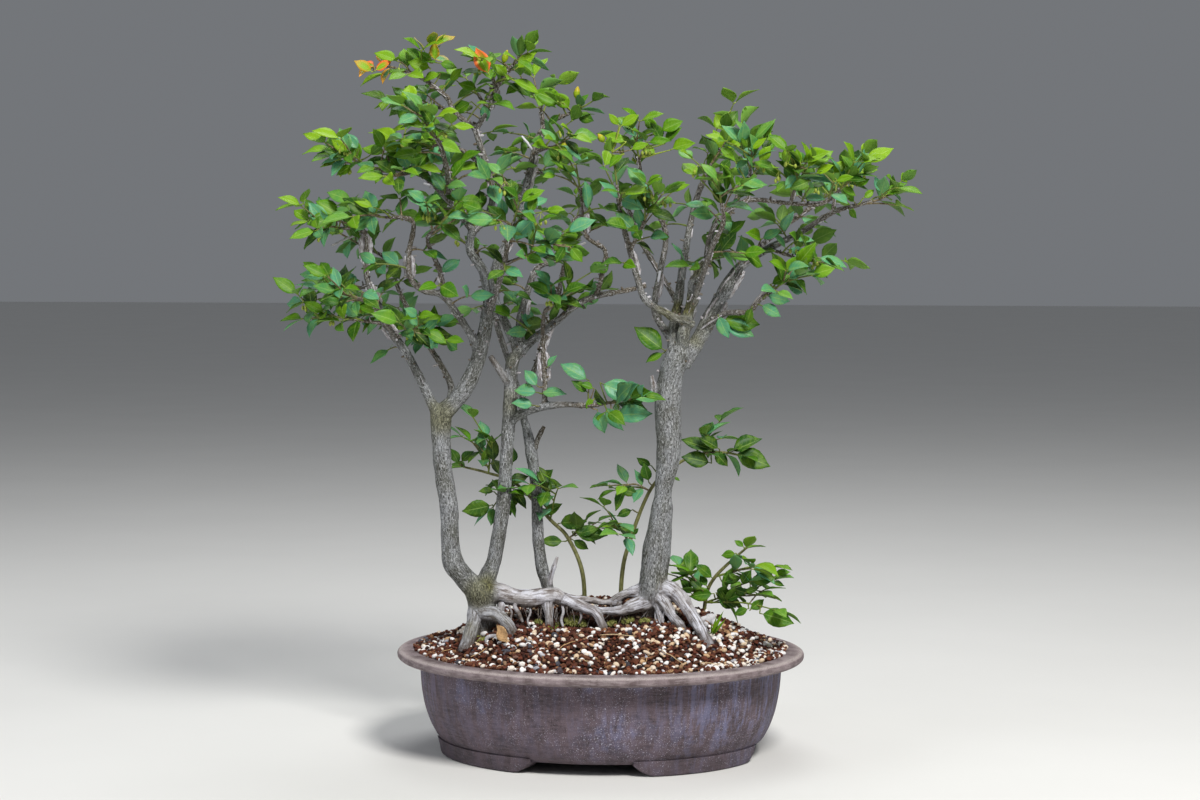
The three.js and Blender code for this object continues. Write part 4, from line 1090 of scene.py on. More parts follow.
def add_leaf(shape, base, along, normal, length, key, tone, blush=0.0, droop=0.13, slender=1.0, blue_tint_and_sheen=None):
    """A pointed, cupped and slightly twisted blade on a short stalk. Tone goes from dark 0 to young 1."""
    blue_tint_and_sheen = chance(key, 7, 31) if blue_tint_and_sheen is None else blue_tint_and_sheen
    flank = normal.cross(along).normalized()
    fold = between(0.12, 0.55, chance(key, 1, 31))
    twist = between(-0.45, 0.45, chance(key, 2, 31))
    sag = droop * between(0.5, 1.5, chance(key, 3, 31))
    bend = between(-0.1, 0.1, chance(key, 4, 31))
    wave = between(0.0, 0.03, chance(key, 5, 31))
    width = length * slender * LEAF_WIDTH_SHARE * between(0.86, 1.12, chance(key, 6, 31))
    stalk = PETIOLE_SHARE * length
    points, leaf, look = [], [], []
    for under in (0, 1):
        for t, w in zip(LEAF_STATIONS, LEAF_WIDTHS):
            turn = twist * t
            across = flank * math.cos(turn) + normal * math.sin(turn)
            rise = normal * math.cos(turn) - flank * math.sin(turn)
            spine = base + along * (stalk + t * (length - stalk)) - normal * (sag * t * t * length)
            spine += flank * (bend * t * t * length)
            for u in LEAF_ACROSS:
                half = u * w * width / 2
                ripple = wave * length * u * u * math.sin(9 * t + 6 * u + key)
                lift = fold * abs(half) + ripple - LEAF_THICKNESS * (under - 0.5) * (1 - 0.6 * abs(u))
                points.append(spine + across * half + rise * lift)
                leaf.append((u, t, tone))
                look.append((under, blush, blue_tint_and_sheen))
    shape.add(points, LEAF_FACES, 0, leaf=leaf, look=look)
    ends = [base - along * 0.4, base + along * (stalk + 0.06 * length)]
    add_tube(shape, ends, [1.2, 0.8], 4, 1, leaf=Vector((0, 0.2, tone)), look=Vector((0, blush, 0)))


def leaf_pairs(shape, shoot, pairs, size, key, tone, blush=0.0, face=None):
    """Opposite leaf pairs along a shoot, each turned across the one before, the last at the tip.

    Face is the way that the blades of a finer shoot turn to, as leaves do towards the light.
    """
    for pair in range(pairs):
        share = 0.97 if pairs == 1 else 0.3 + 0.67 * pair / (pairs - 1)
        node, tangent = along_route(shoot, share)
        level = tangent.cross(UP).normalized()
        rise = level.cross(tangent).normalized()
        roll = 0.9 if (pairs - 1 - pair) % 2 else 0.25
        spin = roll + 0.5 * (chance(key, pair, 3) - 0.5)
        across = level * math.cos(spin) + rise * math.sin(spin)
        opening = 0.72 if pair == pairs - 1 else 0.98
        for hand in (1, -1):
            angle = opening + 0.3 * (chance(key, pair, 5 + hand) - 0.5)
            along = tangent * math.cos(angle) + across * (hand * math.sin(angle))
            along = (along + UP * (0.12 - 0.3 * chance(key, pair, 8 + hand))).normalized()
            lean = UP + tangent * (0.5 * (chance(key, pair, 11 + hand) - 0.3))
            lean += across * (hand * 0.7 * (chance(key, pair, 14 + hand) - 0.5))
            if face:
                lean = lean * 0.6 + face * between(0.3, 1.3, chance(key, pair, 29 + hand))
            length = LEAF_LENGTH * size * (0.85 + 0.3 * chance(key, pair, 17 + hand))
            young = tone + (0.25 if pair == pairs - 1 else -0.1) + 0.4 * (chance(key, pair, 23 + hand) - 0.5)
            leaf_key = key * 7.3 + pair * 2.1 + hand
            young = min(max(young, 0), 1)
            add_leaf(shape, node, along, square_to(lean, along), length, leaf_key, young, blush)


def add_shoot(shape, points, diameters, key, tone):
    """A green shoot with the swollen joints where leaf pairs grow."""
    curve, widths = smooth_route(points, diameters, WOOD_STEP)
    run = 0
    for i in range(1, len(curve)):
        run += (curve[i] - curve[i - 1]).length
        widths[i] *= 1 + 0.3 * math.exp(-((run % 14 - 7) / 1.4) ** 2)
    add_tube(shape, curve, widths, 6, 1, leaf=Vector((0, 0.5, tone)), look=Vector((0, 0, chance(key, 8, 3))))


def inside(tip, start, margin=12):
    """The tip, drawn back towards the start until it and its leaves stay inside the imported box."""
    low, high = (corner / MM for corner in cad_box)
    for _ in range(12):
        if all(low[k] + margin < tip[k] < high[k] - margin for k in range(3)):
            break
        tip = tip.lerp(start, 0.15)
    return tip


def outward(point):
    """The way that leaves at the point turn to: out of their crown, to its front or its back."""
    middle = place(CROWN_MIDDLES[0] if point.x < CROWN_PARTING_X else CROWN_MIDDLES[1])
    away = point - middle
    return Vector((0.5 * away.x, away.y + math.copysign(40, away.y), 0.3 * away.z)).normalized()


def between_crowns(point):
    """Whether the point is in the gap that parts the two crowns as seen from the front."""
    front = seen_from_front(point)
    return -24 < front.x < 18 and front.z > 540


def side_shoots(path, index):
    """Short shoots that fork off a spray's twig and shoot: route, leaf pairs, leaf size and key."""
    along = path[-1] - path[0]
    level = along.cross(UP).normalized()
    count = 4 if chance(index, 2, 9) < 0.5 else 5
    shoots = []
    for k in range(count):
        start, _ = along_route(path, 0.12 + 0.74 * (k + chance(index, k, 21)) / count)
        hand = 1 if (k + index) % 2 else -1
        angle = between(0.4, 1.2, chance(index, k, 22))
        way = along.normalized() * math.cos(angle) + level * (hand * math.sin(angle))
        way = (way + UP * between(-0.35, 0.75, chance(index, k, 24))).normalized()
        tip = inside(start + way * between(20, 42, chance(index, k, 25)), start)
        route = bent(start, tip, between(-1, 3, chance(index, k, 26)))
        size = between(0.75, 1.12, chance(index, k, 27))
        pairs = 1 if chance(index, k, 28) < 0.35 else 2
        shoots.append((route, pairs, size, 300 + 10 * index + k))
    return shoots


def add_buds(shape, node, key):
    """Small round flower buds that hang on thin stalks under a leaf pair."""
    for k in range(3):
        turn = 2.1 * k + 6 * chance(key, k, 41)
        out = Vector((math.cos(turn), math.sin(turn), 0)) * between(3, 6, chance(key, k, 42))
        end = node + out - UP * between(5, 10, chance(key, k, 43))
        bend = node.lerp(end, 0.5) + out * 0.25
        values = {"leaf": Vector((0, 0.7, 0.9)), "look": Vector((0, 0, 0.5))}
        add_tube(shape, [node, bend, end], [0.7, 0.6, 0.6], 4, 1, **values)
        bulb = [end + UP * 0.6, end, end - UP * 1.6, end - UP * 3.4, end - UP * 4.2]
        add_tube(shape, bulb, [0.7, 2.2, 3.3, 2.2, 0.5], 7, 1, **values)


def spray_tone(tip):
    """Young and bright at the top and the far ends of the crown, older inside it: partly the leaves' age,
    partly painted light, brighter where light falls on the crown's top and ends and darker where shade falls
    inside and below.
    """
    return 0.17 + 0.27 * eased(430, 690, tip.z) + 0.12 * eased(60, 300, abs(tip.x))


def leafy_spray(index):
    """One spray as the solids have it, with its finer side shoots and buds."""
    limb, _, _, pairs, size = SPRAYS[index]
    twig, shoot = twig_and_shoot(index)
    tip = shoot[-1]
    stem = [twig[1], *shoot[1:]]
    tone = spray_tone(tip)
    shape = Shape("leaf", "look")
    add_shoot(shape, stem, SHOOT_DIAMETERS, index, tone)
    leaf_pairs(shape, shoot, pairs, size, index, tone, BLUSHING.get(index, 0), outward(tip) * 0.6)
    for order, (route, pairs, size, key) in enumerate(side_shoots([*twig, tip], index)):
        if between_crowns(route[-1]) or (tip.z > OPEN_TOP_Z and order > 1):
            continue
        add_shoot(shape, route, (1.9, 1.6, 1.1), key, tone)
        leaf_pairs(shape, route, pairs, size, key, tone, face=outward(route[-1]))
        if chance(key, 1, 44) < 0.35:
            add_buds(shape, along_route(route, 0.8)[0], key)
    routes = [stem, [place(point) for point in LIMBS[limb]]]
    traced_leaves(shape, f"spray_{index + 1:02d}", routes)
    closed_bud(shape, f"spray_{index + 1:02d}", routes)
    return shape


def traced_leaves(shape, node, routes):
    """The leaves that the front shows one by one, each on a thin shoot of its own from the nearest route."""
    for number, (x, z, tip_x, tip_z, tone, *edge) in enumerate(FRONT_LEAVES.get(node, ())):
        blush = edge[0] if edge else 0
        key = 2000 + number * 3.7 + x
        start = nearest_on(routes, x, z)
        depth = seen_from_front(start).y
        reach = math.hypot(tip_x - x, tip_z - z)
        depth -= 3 + 16 * blush
        base = place((x, depth - 4 * chance(key, 1, 61), z))
        tip = place((tip_x, depth - reach * between(-0.15, 0.45, chance(key, 2, 61)), tip_z))
        if (base - start).length > 3:
            add_shoot(shape, bent(start, base, -1), (1.6, 1.4, 1.1), key, tone)
        along = (tip - base).normalized()
        facing = FRONT + UP * between(0.1, 0.9, chance(key, 3, 61))
        facing += Vector((between(-0.6, 0.6, chance(key, 4, 61)) * (1 - blush), 0, 0))
        # Dark traced leaves off the suckers take the strong blue-green tint, partly painted sheen
        bluish = tone < 0.3 and node not in SUCKERS
        blue_tint_and_sheen = between(0.7, 1, chance(key, 5, 61)) if bluish else between(0, 0.5, chance(key, 5, 61))
        length = (tip - base).length
        add_leaf(shape, base, along, square_to(facing, along), length, key, tone, blush, 0.08, 1.08, blue_tint_and_sheen)


def closed_bud(shape, node, routes):
    """A fat closed end bud with an orange tip, on a shoot from the nearest route."""
    for x, z, tip_x, tip_z in CLOSED_BUDS.get(node, ()):
        start = nearest_on(routes, x, z)
        depth = seen_from_front(start).y - 3
        base, tip = place((x, depth, z)), place((tip_x, depth, tip_z))
        add_shoot(shape, bent(start, base, 1), (1.7, 1.5, 1.4), x, 0.7)
        ends = [base.lerp(tip, share) for share in (0, 0.15, 0.4, 0.7, 0.9, 1)]
        leaf = [(0.5, share, 0.85) for share in (0, 0.15, 0.5, 0.8, 1, 1.1) for _ in range(8)]
        add_tube(shape, ends, [1.6, 5, 7.2, 5.4, 2.6, 0.8], 8, leaf=leaf, look=Vector((0, 0.45, 0.9)))


def leafy_sucker(name, key):
    row = SUCKERS[name]
    points = [place(point) for point in row["stem"]]
    tone = row["tone"]
    shape = Shape("leaf", "look")
    curve, widths = smooth_route(points, [point[3] for point in row["stem"]], 3)
    add_tube(shape, curve, widths, 8, 1, leaf=Vector((0, 0.1, 0.4)), look=Vector((0, 0, 0.62)))
    leaf_pairs(shape, points[-3:], row["pairs"], row["size"], key, tone)
    routes = [curve]
    for k, (start, tip, pairs, size) in enumerate(row["shoots"], key):
        route = bent(points[start], place(tip), 4, 0.55)
        add_shoot(shape, route, (2.0, 1.7, 1.2), k, 0.4)
        leaf_pairs(shape, route, pairs, size, k + 1, tone + 0.05)
        routes.append(route)
        for shoot, finer_pairs, finer_size, finer_key in side_shoots(route, 70 + k)[::2]:
            add_shoot(shape, shoot, (1.7, 1.4, 1.1), finer_key, 0.4)
            leaf_pairs(shape, shoot, finer_pairs, finer_size, finer_key, tone)
    traced_leaves(shape, name, routes)
    return shape


def inner_shoots():
    """Leafy short shoots on the limbs inside the crown, as limb name, root point, tip, pairs, size, key."""
    shoots = []
    for order, name in enumerate(LIMBS):
        if name in BARE_LIMBS:
            continue
        points, _ = limb_route(name)
        length = route_length(points)
        lowest = 480 if name.startswith("d") else 405
        for k in range(int(length / INNER_SPACING)):
            key = 900 + 20 * order + k
            run = (k + 0.2 + 0.7 * chance(key, 1, 51)) * INNER_SPACING
            start, tangent = along_route(points, run / length)
            missing = 0.55 if start.z < 520 else 0.2
            outgrown = name == "a2" and start.z > 470
            if outgrown or start.z < lowest or chance(key, 2, 51) < missing:
                continue
            turn = 2 * math.pi * chance(key, 3, 51)
            out = Vector((math.cos(turn), math.sin(turn), between(0.1, 1.0, chance(key, 4, 51))))
            out = square_to(out, tangent, 0.7)
            tip = inside(start + out * between(16, 34, chance(key, 5, 51)), start)
            pairs = 1 if chance(key, 6, 51) < 0.5 else 2
            shoots.append((name, start, tip, pairs, between(0.75, 1.1, chance(key, 7, 51)), key))
    return shoots


def inner_foliage(right):
    """The short shoots inside the right crown or the left one."""
    shape = Shape("leaf", "look")
    for name, start, tip, pairs, size, key in inner_shoots():
        if name.startswith("d") != right:
            continue
        route = bent(start, tip, 1.5)
        add_shoot(shape, route, (1.9, 1.6, 1.2), key, 0.3)
        # Brighter towards the top: partly younger leaves, partly painted light where it falls on the crown's
        # top
        tone = 0.2 + 0.3 * eased(450, 680, tip.z)
        leaf_pairs(shape, route, pairs, size, key, tone, face=outward(tip))
    return shape


# Pot


def cut_corners(profile, rounds):
    """The open profile with its corners rounded, its two ends kept."""
    for _ in range(rounds):
        cut = [profile[0]]
        for (a, b), (c, d) in zip(profile, profile[1:]):
            cut += [(between(a, c, share), between(b, d, share)) for share in (0.22, 0.78)]
        profile = cut + [profile[-1]]
    return profile


def oval(inset, z, angle):
    x = (RIM_HALF_LENGTH - inset) * math.cos(angle)
    y = (RIM_HALF_DEPTH - inset) * math.sin(angle)
    return Vector((x, y, z))


def pot_shell():
    """The profile turned round the oval, a little uneven as a hand leaves it."""
    profile = cut_corners(POT_PROFILE, 2)
    points, faces = [], []
    width = len(profile)
    for i in range(POT_STEPS):
        angle = 2 * math.pi * (i / POT_STEPS)
        for inset, z in profile:
            point = oval(inset, z, angle)
            wobble = POT_WOBBLE * (relief(point, 0.02) - 0.6)
            points.append(point + Vector((math.cos(angle), math.sin(angle), 0)) * wobble)
        a, b = i * width, ((i + 1) % POT_STEPS) * width
        faces += [[a + j, b + j, b + j + 1, a + j + 1] for j in range(width - 1)]
    faces.append([i * width for i in reversed(range(POT_STEPS))])
    faces.append([i * width + width - 1 for i in range(POT_STEPS)])
    return points, faces


def foot(quadrant):
    """One curved foot: a low block under the wall whose ends sweep up in a cove."""
    low, high = math.radians(FOOT_FROM_DEG), math.radians(FOOT_TO_DEG)
    if quadrant % 2:
        low, high = math.pi - high, math.pi - low
    turn = math.pi if quadrant > 1 else 0
    outer, inner = FOOT_OUTER_INSET, FOOT_OUTER_INSET + FOOT_WIDTH
    points = []
    for i in range(FOOT_STEPS + 1):
        share = i / FOOT_STEPS
        angle = turn + between(low, high, share)
        near_end = min(share, 1 - share) * FOOT_STEPS
        base = 11 * (1 - min(1, near_end / 4)) ** 2.2
        section = [
            (inner, 16), (outer - 1, 16), (outer + 0.5, base + 5), (outer + 1, base + 1.5),
            (outer + 3, base), (inner - 1, base), (inner + 1.5, base + 1.5), (inner + 0.5, base + 5),
        ]
        points += [oval(inset, z, angle) for inset, z in section]
    return points, tube_faces(FOOT_STEPS + 1, 8)


def pot_piece(material):
    """The shell joined with its feet and drilled twice."""
    body = add_object("clay_pot", make_mesh("clay_pot", *pot_shell()))
    helpers = [("UNION", *foot(quadrant)) for quadrant in range(4)]
    for x in (-DRAIN_HOLE_OFFSET, DRAIN_HOLE_OFFSET):
        draft = Shape()
        add_tube(draft, [Vector((x, 0, 2)), Vector((x, 0, 32))], [DRAIN_HOLE_DIAMETER] * 2, 40)
        helpers.append(("DIFFERENCE", draft.points, draft.faces))
    tools = []
    for operation, points, faces in helpers:
        cut = body.modifiers.new("join", "BOOLEAN")
        cut.operation = operation
        cut.solver = "EXACT"
        cut.object = add_object("tool", make_mesh("tool", points, faces))
        tools.append(cut.object)
    clay = applied(body)
    body.modifiers.clear()
    body.data = clay
    for tool in tools:
        bpy.data.objects.remove(tool)
    clay.materials.clear()
    clay.materials.append(material)
    clay.polygons.foreach_set("use_smooth", [True] * len(clay.polygons))
    clay.set_sharp_from_angle(angle=math.radians(40))
    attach(body, "root")
    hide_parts("pot")


def staple(number, material):
    """Wire over a drain screen: across its middle opening, down beside it and out under the floor."""
    middle = DRAIN_HOLE_OFFSET * (-1 if number == 1 else 1)
    reach = SCREEN_OPENING / 2 + SCREEN_BAR + 2
    top = FLOOR_TOP + GAP + SCREEN_THICKNESS + GAP + WIRE_DIAMETER / 2
    low = FLOOR_UNDERSIDE - GAP - WIRE_DIAMETER / 2
    side = [(20, low), (reach + 1, low), (reach, low + 1), (reach, top - 1), (reach - 1, top)]
    route = [(-x, z) for x, z in side] + side[::-1]
    points = [Vector((middle + x, 0, z)) for x, z in route]
    shape = Shape()
    add_tube(shape, points, [WIRE_DIAMETER] * len(points), 10)
    make_piece(f"staple_{number}", shape, [material], [f"screen_wire_{number}"])


# Soil


def soil_height(x, y):
    """Height of the soil: a mound that is highest behind the trunks, hollow under the joining roots."""
    half_length, half_depth = RIM_HALF_LENGTH - WALL_INSET, RIM_HALF_DEPTH - WALL_INSET
    run = half_depth + SOIL_CREST_Y if y < SOIL_CREST_Y else half_depth - SOIL_CREST_Y
    fall = abs(x / half_length) ** 2.6 + abs((y - SOIL_CREST_Y) / run) ** 1.2
    hollow = 14 * math.exp(-(((x + 5) / 62) ** 2) - ((y + 12) / 24) ** 2)
    return SOIL_EDGE + SOIL_RISE * max(0, 1 - fall) - hollow


def soil_bed():
    """The packed soil: its side inside the wall and a lumpy top that the grains lie on."""
    turns = [2 * math.pi * j / SOIL_STEPS for j in range(SOIL_STEPS)]
    points = [oval(inset, z, turn) for inset, z in SOIL_WALL for turn in turns]
    for ring in range(SOIL_RINGS):
        share = 1 - (ring + 0.5) / SOIL_RINGS
        for turn in turns:
            edge = oval(SOIL_WALL[-1][0], 0, turn)
            x, y = edge.x * share, edge.y * share
            lumps = 1.6 * relief((x, y, 0), 0.16) + 1.0 * relief((x, y, 7), 0.45)
            points.append(Vector((x, y, soil_height(x, y) - 2.6 + lumps)))
    shape = Shape()
    shape.add(points, tube_faces(len(SOIL_WALL) + SOIL_RINGS, SOIL_STEPS))
    return shape


def on_soil(x, y, z):
    """The point of the soil's surface that the front shows at x and z, searched from a depth of y on."""
    for step in range(60):
        point = place((x, y - 3 * step, z))
        if point.z >= soil_height(point.x, point.y):
            return Vector((point.x, point.y, soil_height(point.x, point.y)))
    return point


def finer(points, faces):
    """Each triangle cut into four, with the new points on the unit ball."""
    points, middles, cut = list(points), {}, []
    for a, b, c in faces:
        corners = []
        for edge in ((a, b), (b, c), (c, a)):
            key = tuple(sorted(edge))
            if key not in middles:
                middles[key] = len(points)
                points.append((points[key[0]] + points[key[1]]).normalized())
            corners.append(middles[key])
        ab, bc, ca = corners
        cut += [[a, ab, ca], [b, bc, ab], [c, ca, bc], [ab, bc, ca]]
    return points, cut


ROUND_POINTS, ROUND_FACES = finer(GRAIN_POINTS, GRAIN_FACES)


def add_grain(shape, middle, radius, draw, rounded, tint):
    """A stone of about that radius, angular or rounded, turned at random."""
    corners, faces = (ROUND_POINTS, ROUND_FACES) if rounded else (GRAIN_POINTS, GRAIN_FACES)
    turn, tip = draw.uniform(0, 6.3), draw.uniform(-0.5, 0.5)
    stretch = Vector((draw.uniform(0.95, 1.35), draw.uniform(0.75, 1.0), draw.uniform(0.65, 0.95)))
    jitter = 0.05 if rounded else 0.2
    cos, sin = math.cos(turn), math.sin(turn)
    points = []
    for corner in corners:
        x, y, z = (a * b * (1 + draw.uniform(-jitter, jitter)) * radius for a, b in zip(corner, stretch))
        z += tip * x
        points.append(middle + Vector((x * cos - y * sin, x * sin + y * cos, z)))
    shape.add(points, faces, stone=Vector(tint))


def add_pot_grain(shapes, x, y, z, draw):
    """One stone of the mix, dark and angular or pale and rounded. The right end holds more pale ones."""
    radius = draw.choice(GRAIN_RADII)
    tint = (draw.random(), draw.random(), draw.random())
    radius *= between(0.92, 1.12, tint[2])
    pale_share = between(0.19, 0.42, eased(60, 170, x + 20 * relief((x, y, 0), 0.03)))
    pale = draw.random() < pale_share
    add_grain(shapes[pale], Vector((x, y, z)), radius, draw, pale, tint)


def bare_under_roots(x, y):
    """The shaded ground under the joining roots, where few stones lie."""
    return -100 < x < 58 and -14 < y - 0.14 * x < 15


def soil_grains():
    """Stones over the bed and, loosely, on the inner half of the rim: rust and brown, cream and grey."""
    draw = random.Random(11)
    shapes = Shape("stone"), Shape("stone")
    half_length, half_depth = RIM_HALF_LENGTH - SPILL_INSET, RIM_HALF_DEPTH - SPILL_INSET
    step_y = GRAIN_SPACING * 0.87
    rows, columns = int(half_depth / step_y), int(half_length / GRAIN_SPACING)
    for row in range(-rows, rows + 1):
        for column in range(-columns, columns + 1):
            x = (column + 0.5 * (row % 2)) * GRAIN_SPACING + draw.uniform(-1.4, 1.4)
            y = row * step_y + draw.uniform(-1.4, 1.4)
            share = (x / half_length) ** 2 + (y / half_depth) ** 2
            if share > 1 + 0.04 * relief((x, y, 3), 0.08):
                continue
            if bare_under_roots(x, y) and draw.random() < 0.8:
                continue
            if (x / (RIM_HALF_LENGTH - LIP_INSET)) ** 2 + (y / (RIM_HALF_DEPTH - LIP_INSET)) ** 2 > 1:
                z = POT_HEIGHT + 0.8 + draw.uniform(-0.2, 0.8)
            else:
                z = soil_height(x, y) - 1.0 + (draw.uniform(-0.9, 1.6) + 2 * eased(0.8, 1, share))
            add_pot_grain(shapes, x, y, z, draw)
    for x, z, radius in PALE_LUMPS:
        middle = on_soil(x, 20, z) + UP * (0.35 * radius)
        add_grain(shapes[1], middle, radius, draw, True, (0.94, 0.5, 0.5))
    return shapes


# Small things on the soil


def moss_cushions():
    """Low cushions of moss: short blunt blades that stand out of small mounds."""
    shape = Shape("stone")
    draw = random.Random(5)
    for x, z, radius in MOSS_CUSHIONS:
        middle = on_soil(x, 10, z)
        for _ in range(round(radius * radius * 5)):
            turn, share = draw.uniform(0, 6.283), draw.random() ** 0.5
            out = Vector((math.cos(turn) * share, math.sin(turn) * share * 0.7, 0))
            foot = middle + out * radius
            foot.z = soil_height(foot.x, foot.y) - 1.5 + 0.42 * radius * (1 - share * share)
            lean = out + UP * 1.3 + Vector((draw.uniform(-0.6, 0.6), draw.uniform(-0.6, 0.6), 0))
            tip = foot + lean.normalized() * draw.uniform(1.6, 3.2)
            value = Vector((draw.random(), draw.random(), 0))
            add_tube(shape, bent(foot, tip, 0), [1.1, 0.9, 0.25], 4, stone=value)
    return shape


def add_root(shape, route, diameters, step, sides, offset, bare, dirt_and_shade):
    curve, widths = smooth_route(route, diameters, step)
    grain = [Vector((offset, 0, k * step)) for k in range(len(curve)) for _ in range(sides)]
    add_tube(shape, curve, widths, sides, grain=grain, bark=Vector((bare, 0, 0)), girth=Vector((3, 0, dirt_and_shade)))


def rootlets():
    """Fine hair roots that hang in the hollow under the joining roots and lie on the soil."""
    shape = Shape("grain", "bark", "girth")
    draw = random.Random(8)
    for number in range(HAIR_ROOTS):
        x = draw.uniform(-104, 62)
        start = place((x, draw.uniform(-8, 8), draw.uniform(141, 151)))
        fall = Vector((draw.uniform(-7, 7), draw.uniform(-9, 3), -draw.uniform(9, 24)))
        bend = start + fall * 0.5 + Vector((draw.uniform(-4, 4), draw.uniform(-4, 4), 0))
        end = start + fall
        end.z = max(end.z, soil_height(end.x, end.y) - 1)
        diameters = [draw.uniform(0.7, 1.8), 0.9, 0.5]
        # The hair roots are darkened towards soil brown: soil dirt, and painted shade of the hollow they
        # hang in
        bare, dirt_and_shade = draw.uniform(0.0, 0.4), draw.uniform(0.5, 1)
        add_root(shape, [start, bend, end], diameters, 4, 5, number * 3.1, bare, dirt_and_shade)
    for points, thick in SURFACE_ROOTS:
        route = [place(point) for point in points]
        diameters = [thick] * (len(route) - 1) + [thick * 0.6]
        add_root(shape, route, diameters, 2, 7, thick * 9, 0.6, 0.2)
    return shape


def dead_bits():
    """A dry brown leaf that stands between the roots and pale dry needles that lie on the stones."""
    shape = Shape("leaf", "look")
    base, tip = on_soil(-94, -26, 106) + UP * 4, place((-98, -36, 123))
    along = (tip - base).normalized()
    add_leaf(shape, base, along, square_to(FRONT, along), (tip - base).length, 4, 0.4, droop=-0.2)
    draw = random.Random(3)
    for x, y, length, turn in DRY_NEEDLES:
        points = []
        for k in range(5):
            at = Vector((x, y, 0)) + Vector((math.cos(turn), math.sin(turn), 0)) * (length * (k / 4 - 0.5))
            at += Vector((-math.sin(turn), math.cos(turn), 0)) * (draw.uniform(-0.1, 0.1) * length)
            points.append(Vector((at.x, at.y, soil_height(at.x, at.y) + draw.uniform(2.2, 3.6))))
        curve, widths = smooth_route(points, [0.6, 1.0, 1.0, 0.9, 0.5], 2)
        tone = Vector((0, 0.5, draw.random()))
        add_tube(shape, curve, widths, 5, leaf=tone, look=Vector((0, 0, draw.random())))
    return shape


def grass_tuft():
    """A small bright tuft of narrow arching blades, and a seedling's two round seed leaves."""
    shape = Shape("leaf", "look")
    root = on_soil(112, -30, 117) - UP * 2
    depth = seen_from_front(root).y
    for k, (x, z) in enumerate(GRASS_TIPS):
        tip = place((x, depth - 2 - 2 * k, z))
        along = (tip - root).normalized()
        normal = square_to(FRONT + UP * 0.4, along)
        add_leaf(shape, root, along, normal, (tip - root).length, 31 + k, 0.8, droop=-0.1, slender=0.2)
    for x, z, way in ((-48, 121, -0.5), (-45, 122, 0.5)):
        seed = on_soil(x, -16, z) + UP * 2
        add_leaf(shape, seed, Vector((way, -0.5, 0.6)).normalized(), UP, 7, x, 0.9)
    return shape


# Materials


def tint(code):
    """A linear colour from a hex code."""
    channels = [int(code[i:i + 2], 16) / 255 for i in (0, 2, 4)]
    return (*[c / 12.92 if c <= 0.04045 else ((c + 0.055) / 1.055) ** 2.4 for c in channels], 1)


class Finish:
    """A material built from nodes round one Principled shader. Colours are hex codes or sockets."""

    def __init__(self, name, roughness, specular):
        self.material = bpy.data.materials.new(name)
        self.material.use_nodes = True
        self.tree = self.material.node_tree
        self.shader = self.tree.nodes["Principled BSDF"]
        self.shader.inputs["Roughness"].default_value = roughness
        self.shader.inputs["Specular IOR Level"].default_value = specular

    def node(self, kind, **settings):
        node = self.tree.nodes.new("ShaderNode" + kind)
        for key, value in settings.items():
            setattr(node, key, value)
        return node

    def feed(self, socket, value):
        if isinstance(value, bpy.types.NodeSocket):
            self.tree.links.new(value, socket)
        else:
            socket.default_value = tint(value) if isinstance(value, str) else value

    def parts(self, name):
        """The three numbers of a value that the mesh holds."""
        return self.split(self.attribute(name))

    def split(self, vector):
        node = self.node("SeparateXYZ")
        self.feed(node.inputs[0], vector)
        return node.outputs[0], node.outputs[1], node.outputs[2]

    def attribute(self, name):
        return self.node("Attribute", attribute_name=name).outputs["Vector"]

    def place_mm(self):
        """Object coordinates in millimetres."""
        return self.stretch(self.node("TexCoord").outputs["Object"], (1000, 1000, 1000))

    def stretch(self, vector, scale):
        node = self.node("VectorMath", operation="MULTIPLY")
        self.feed(node.inputs[0], vector)
        self.feed(node.inputs[1], scale)
        return node.outputs[0]

    def noise(self, vector, scale, detail, roughness=0.55, distortion=0.0):
        node = self.node("TexNoise")
        self.feed(node.inputs["Vector"], vector)
        for name, value in (
            ("Scale", scale), ("Detail", detail), ("Roughness", roughness), ("Distortion", distortion),
        ):
            self.feed(node.inputs[name], value)
        return node.outputs["Fac"]

    def math(self, operation, *values):
        """One value got from the others by the operation, two at a time."""
        total = values[0]
        for value in values[1:] or (0.0,):
            node = self.node("Math", operation=operation)
            self.feed(node.inputs[0], total)
            self.feed(node.inputs[1], value)
            total = node.outputs[0]
        return total

    def times(self, *values):
        return self.math("MULTIPLY", *values)

    def ramp(self, value, low, high, start=0.0, end=1.0):
        """A smooth step from start to end as the value goes from low to high."""
        node = self.node("MapRange", interpolation_type="SMOOTHSTEP")
        for socket, number in zip(node.inputs, (value, low, high, start, end)):
            self.feed(socket, number)
        return node.outputs[0]

    def mix(self, share, a, b):
        node = self.node("Mix", data_type="RGBA")
        self.feed(node.inputs[0], share)
        self.feed(node.inputs[6], a)
        self.feed(node.inputs[7], b)
        return node.outputs[2]

    def fade(self, value, low, high, a, b):
        """Colour a where the value is low and b where it is high."""
        return self.mix(self.ramp(value, low, high), a, b)

    def coats(self, colour, *rows):
        """The colour under coats, each a value, where it starts and ends, its strength and its colour."""
        for value, low, high, strength, coat in rows:
            colour = self.mix(self.ramp(value, low, high, 0.0, strength), colour, coat)
        return colour

    def bands(self, value, *stops):
        """A colour that blends from stop to stop as the value grows."""
        node = self.node("ValToRGB")
        ramp = node.color_ramp
        while len(ramp.elements) < len(stops):
            ramp.elements.new(0.5)
        for element, (position, code) in zip(ramp.elements, stops):
            element.position = position
            element.color = tint(code)
        self.feed(node.inputs[0], value)
        return node.outputs[0]

    def done(self, colour, roughness=None, height=None, depth_mm=0.0):
        self.feed(self.shader.inputs["Base Color"], colour)
        if roughness is not None:
            self.feed(self.shader.inputs["Roughness"], roughness)
        if height is not None:
            bump = self.node("Bump")
            bump.inputs["Strength"].default_value = 1.0
            bump.inputs["Distance"].default_value = depth_mm * MM
            self.feed(bump.inputs["Height"], height)
            self.feed(self.shader.inputs["Normal"], bump.outputs[0])
        return self.material


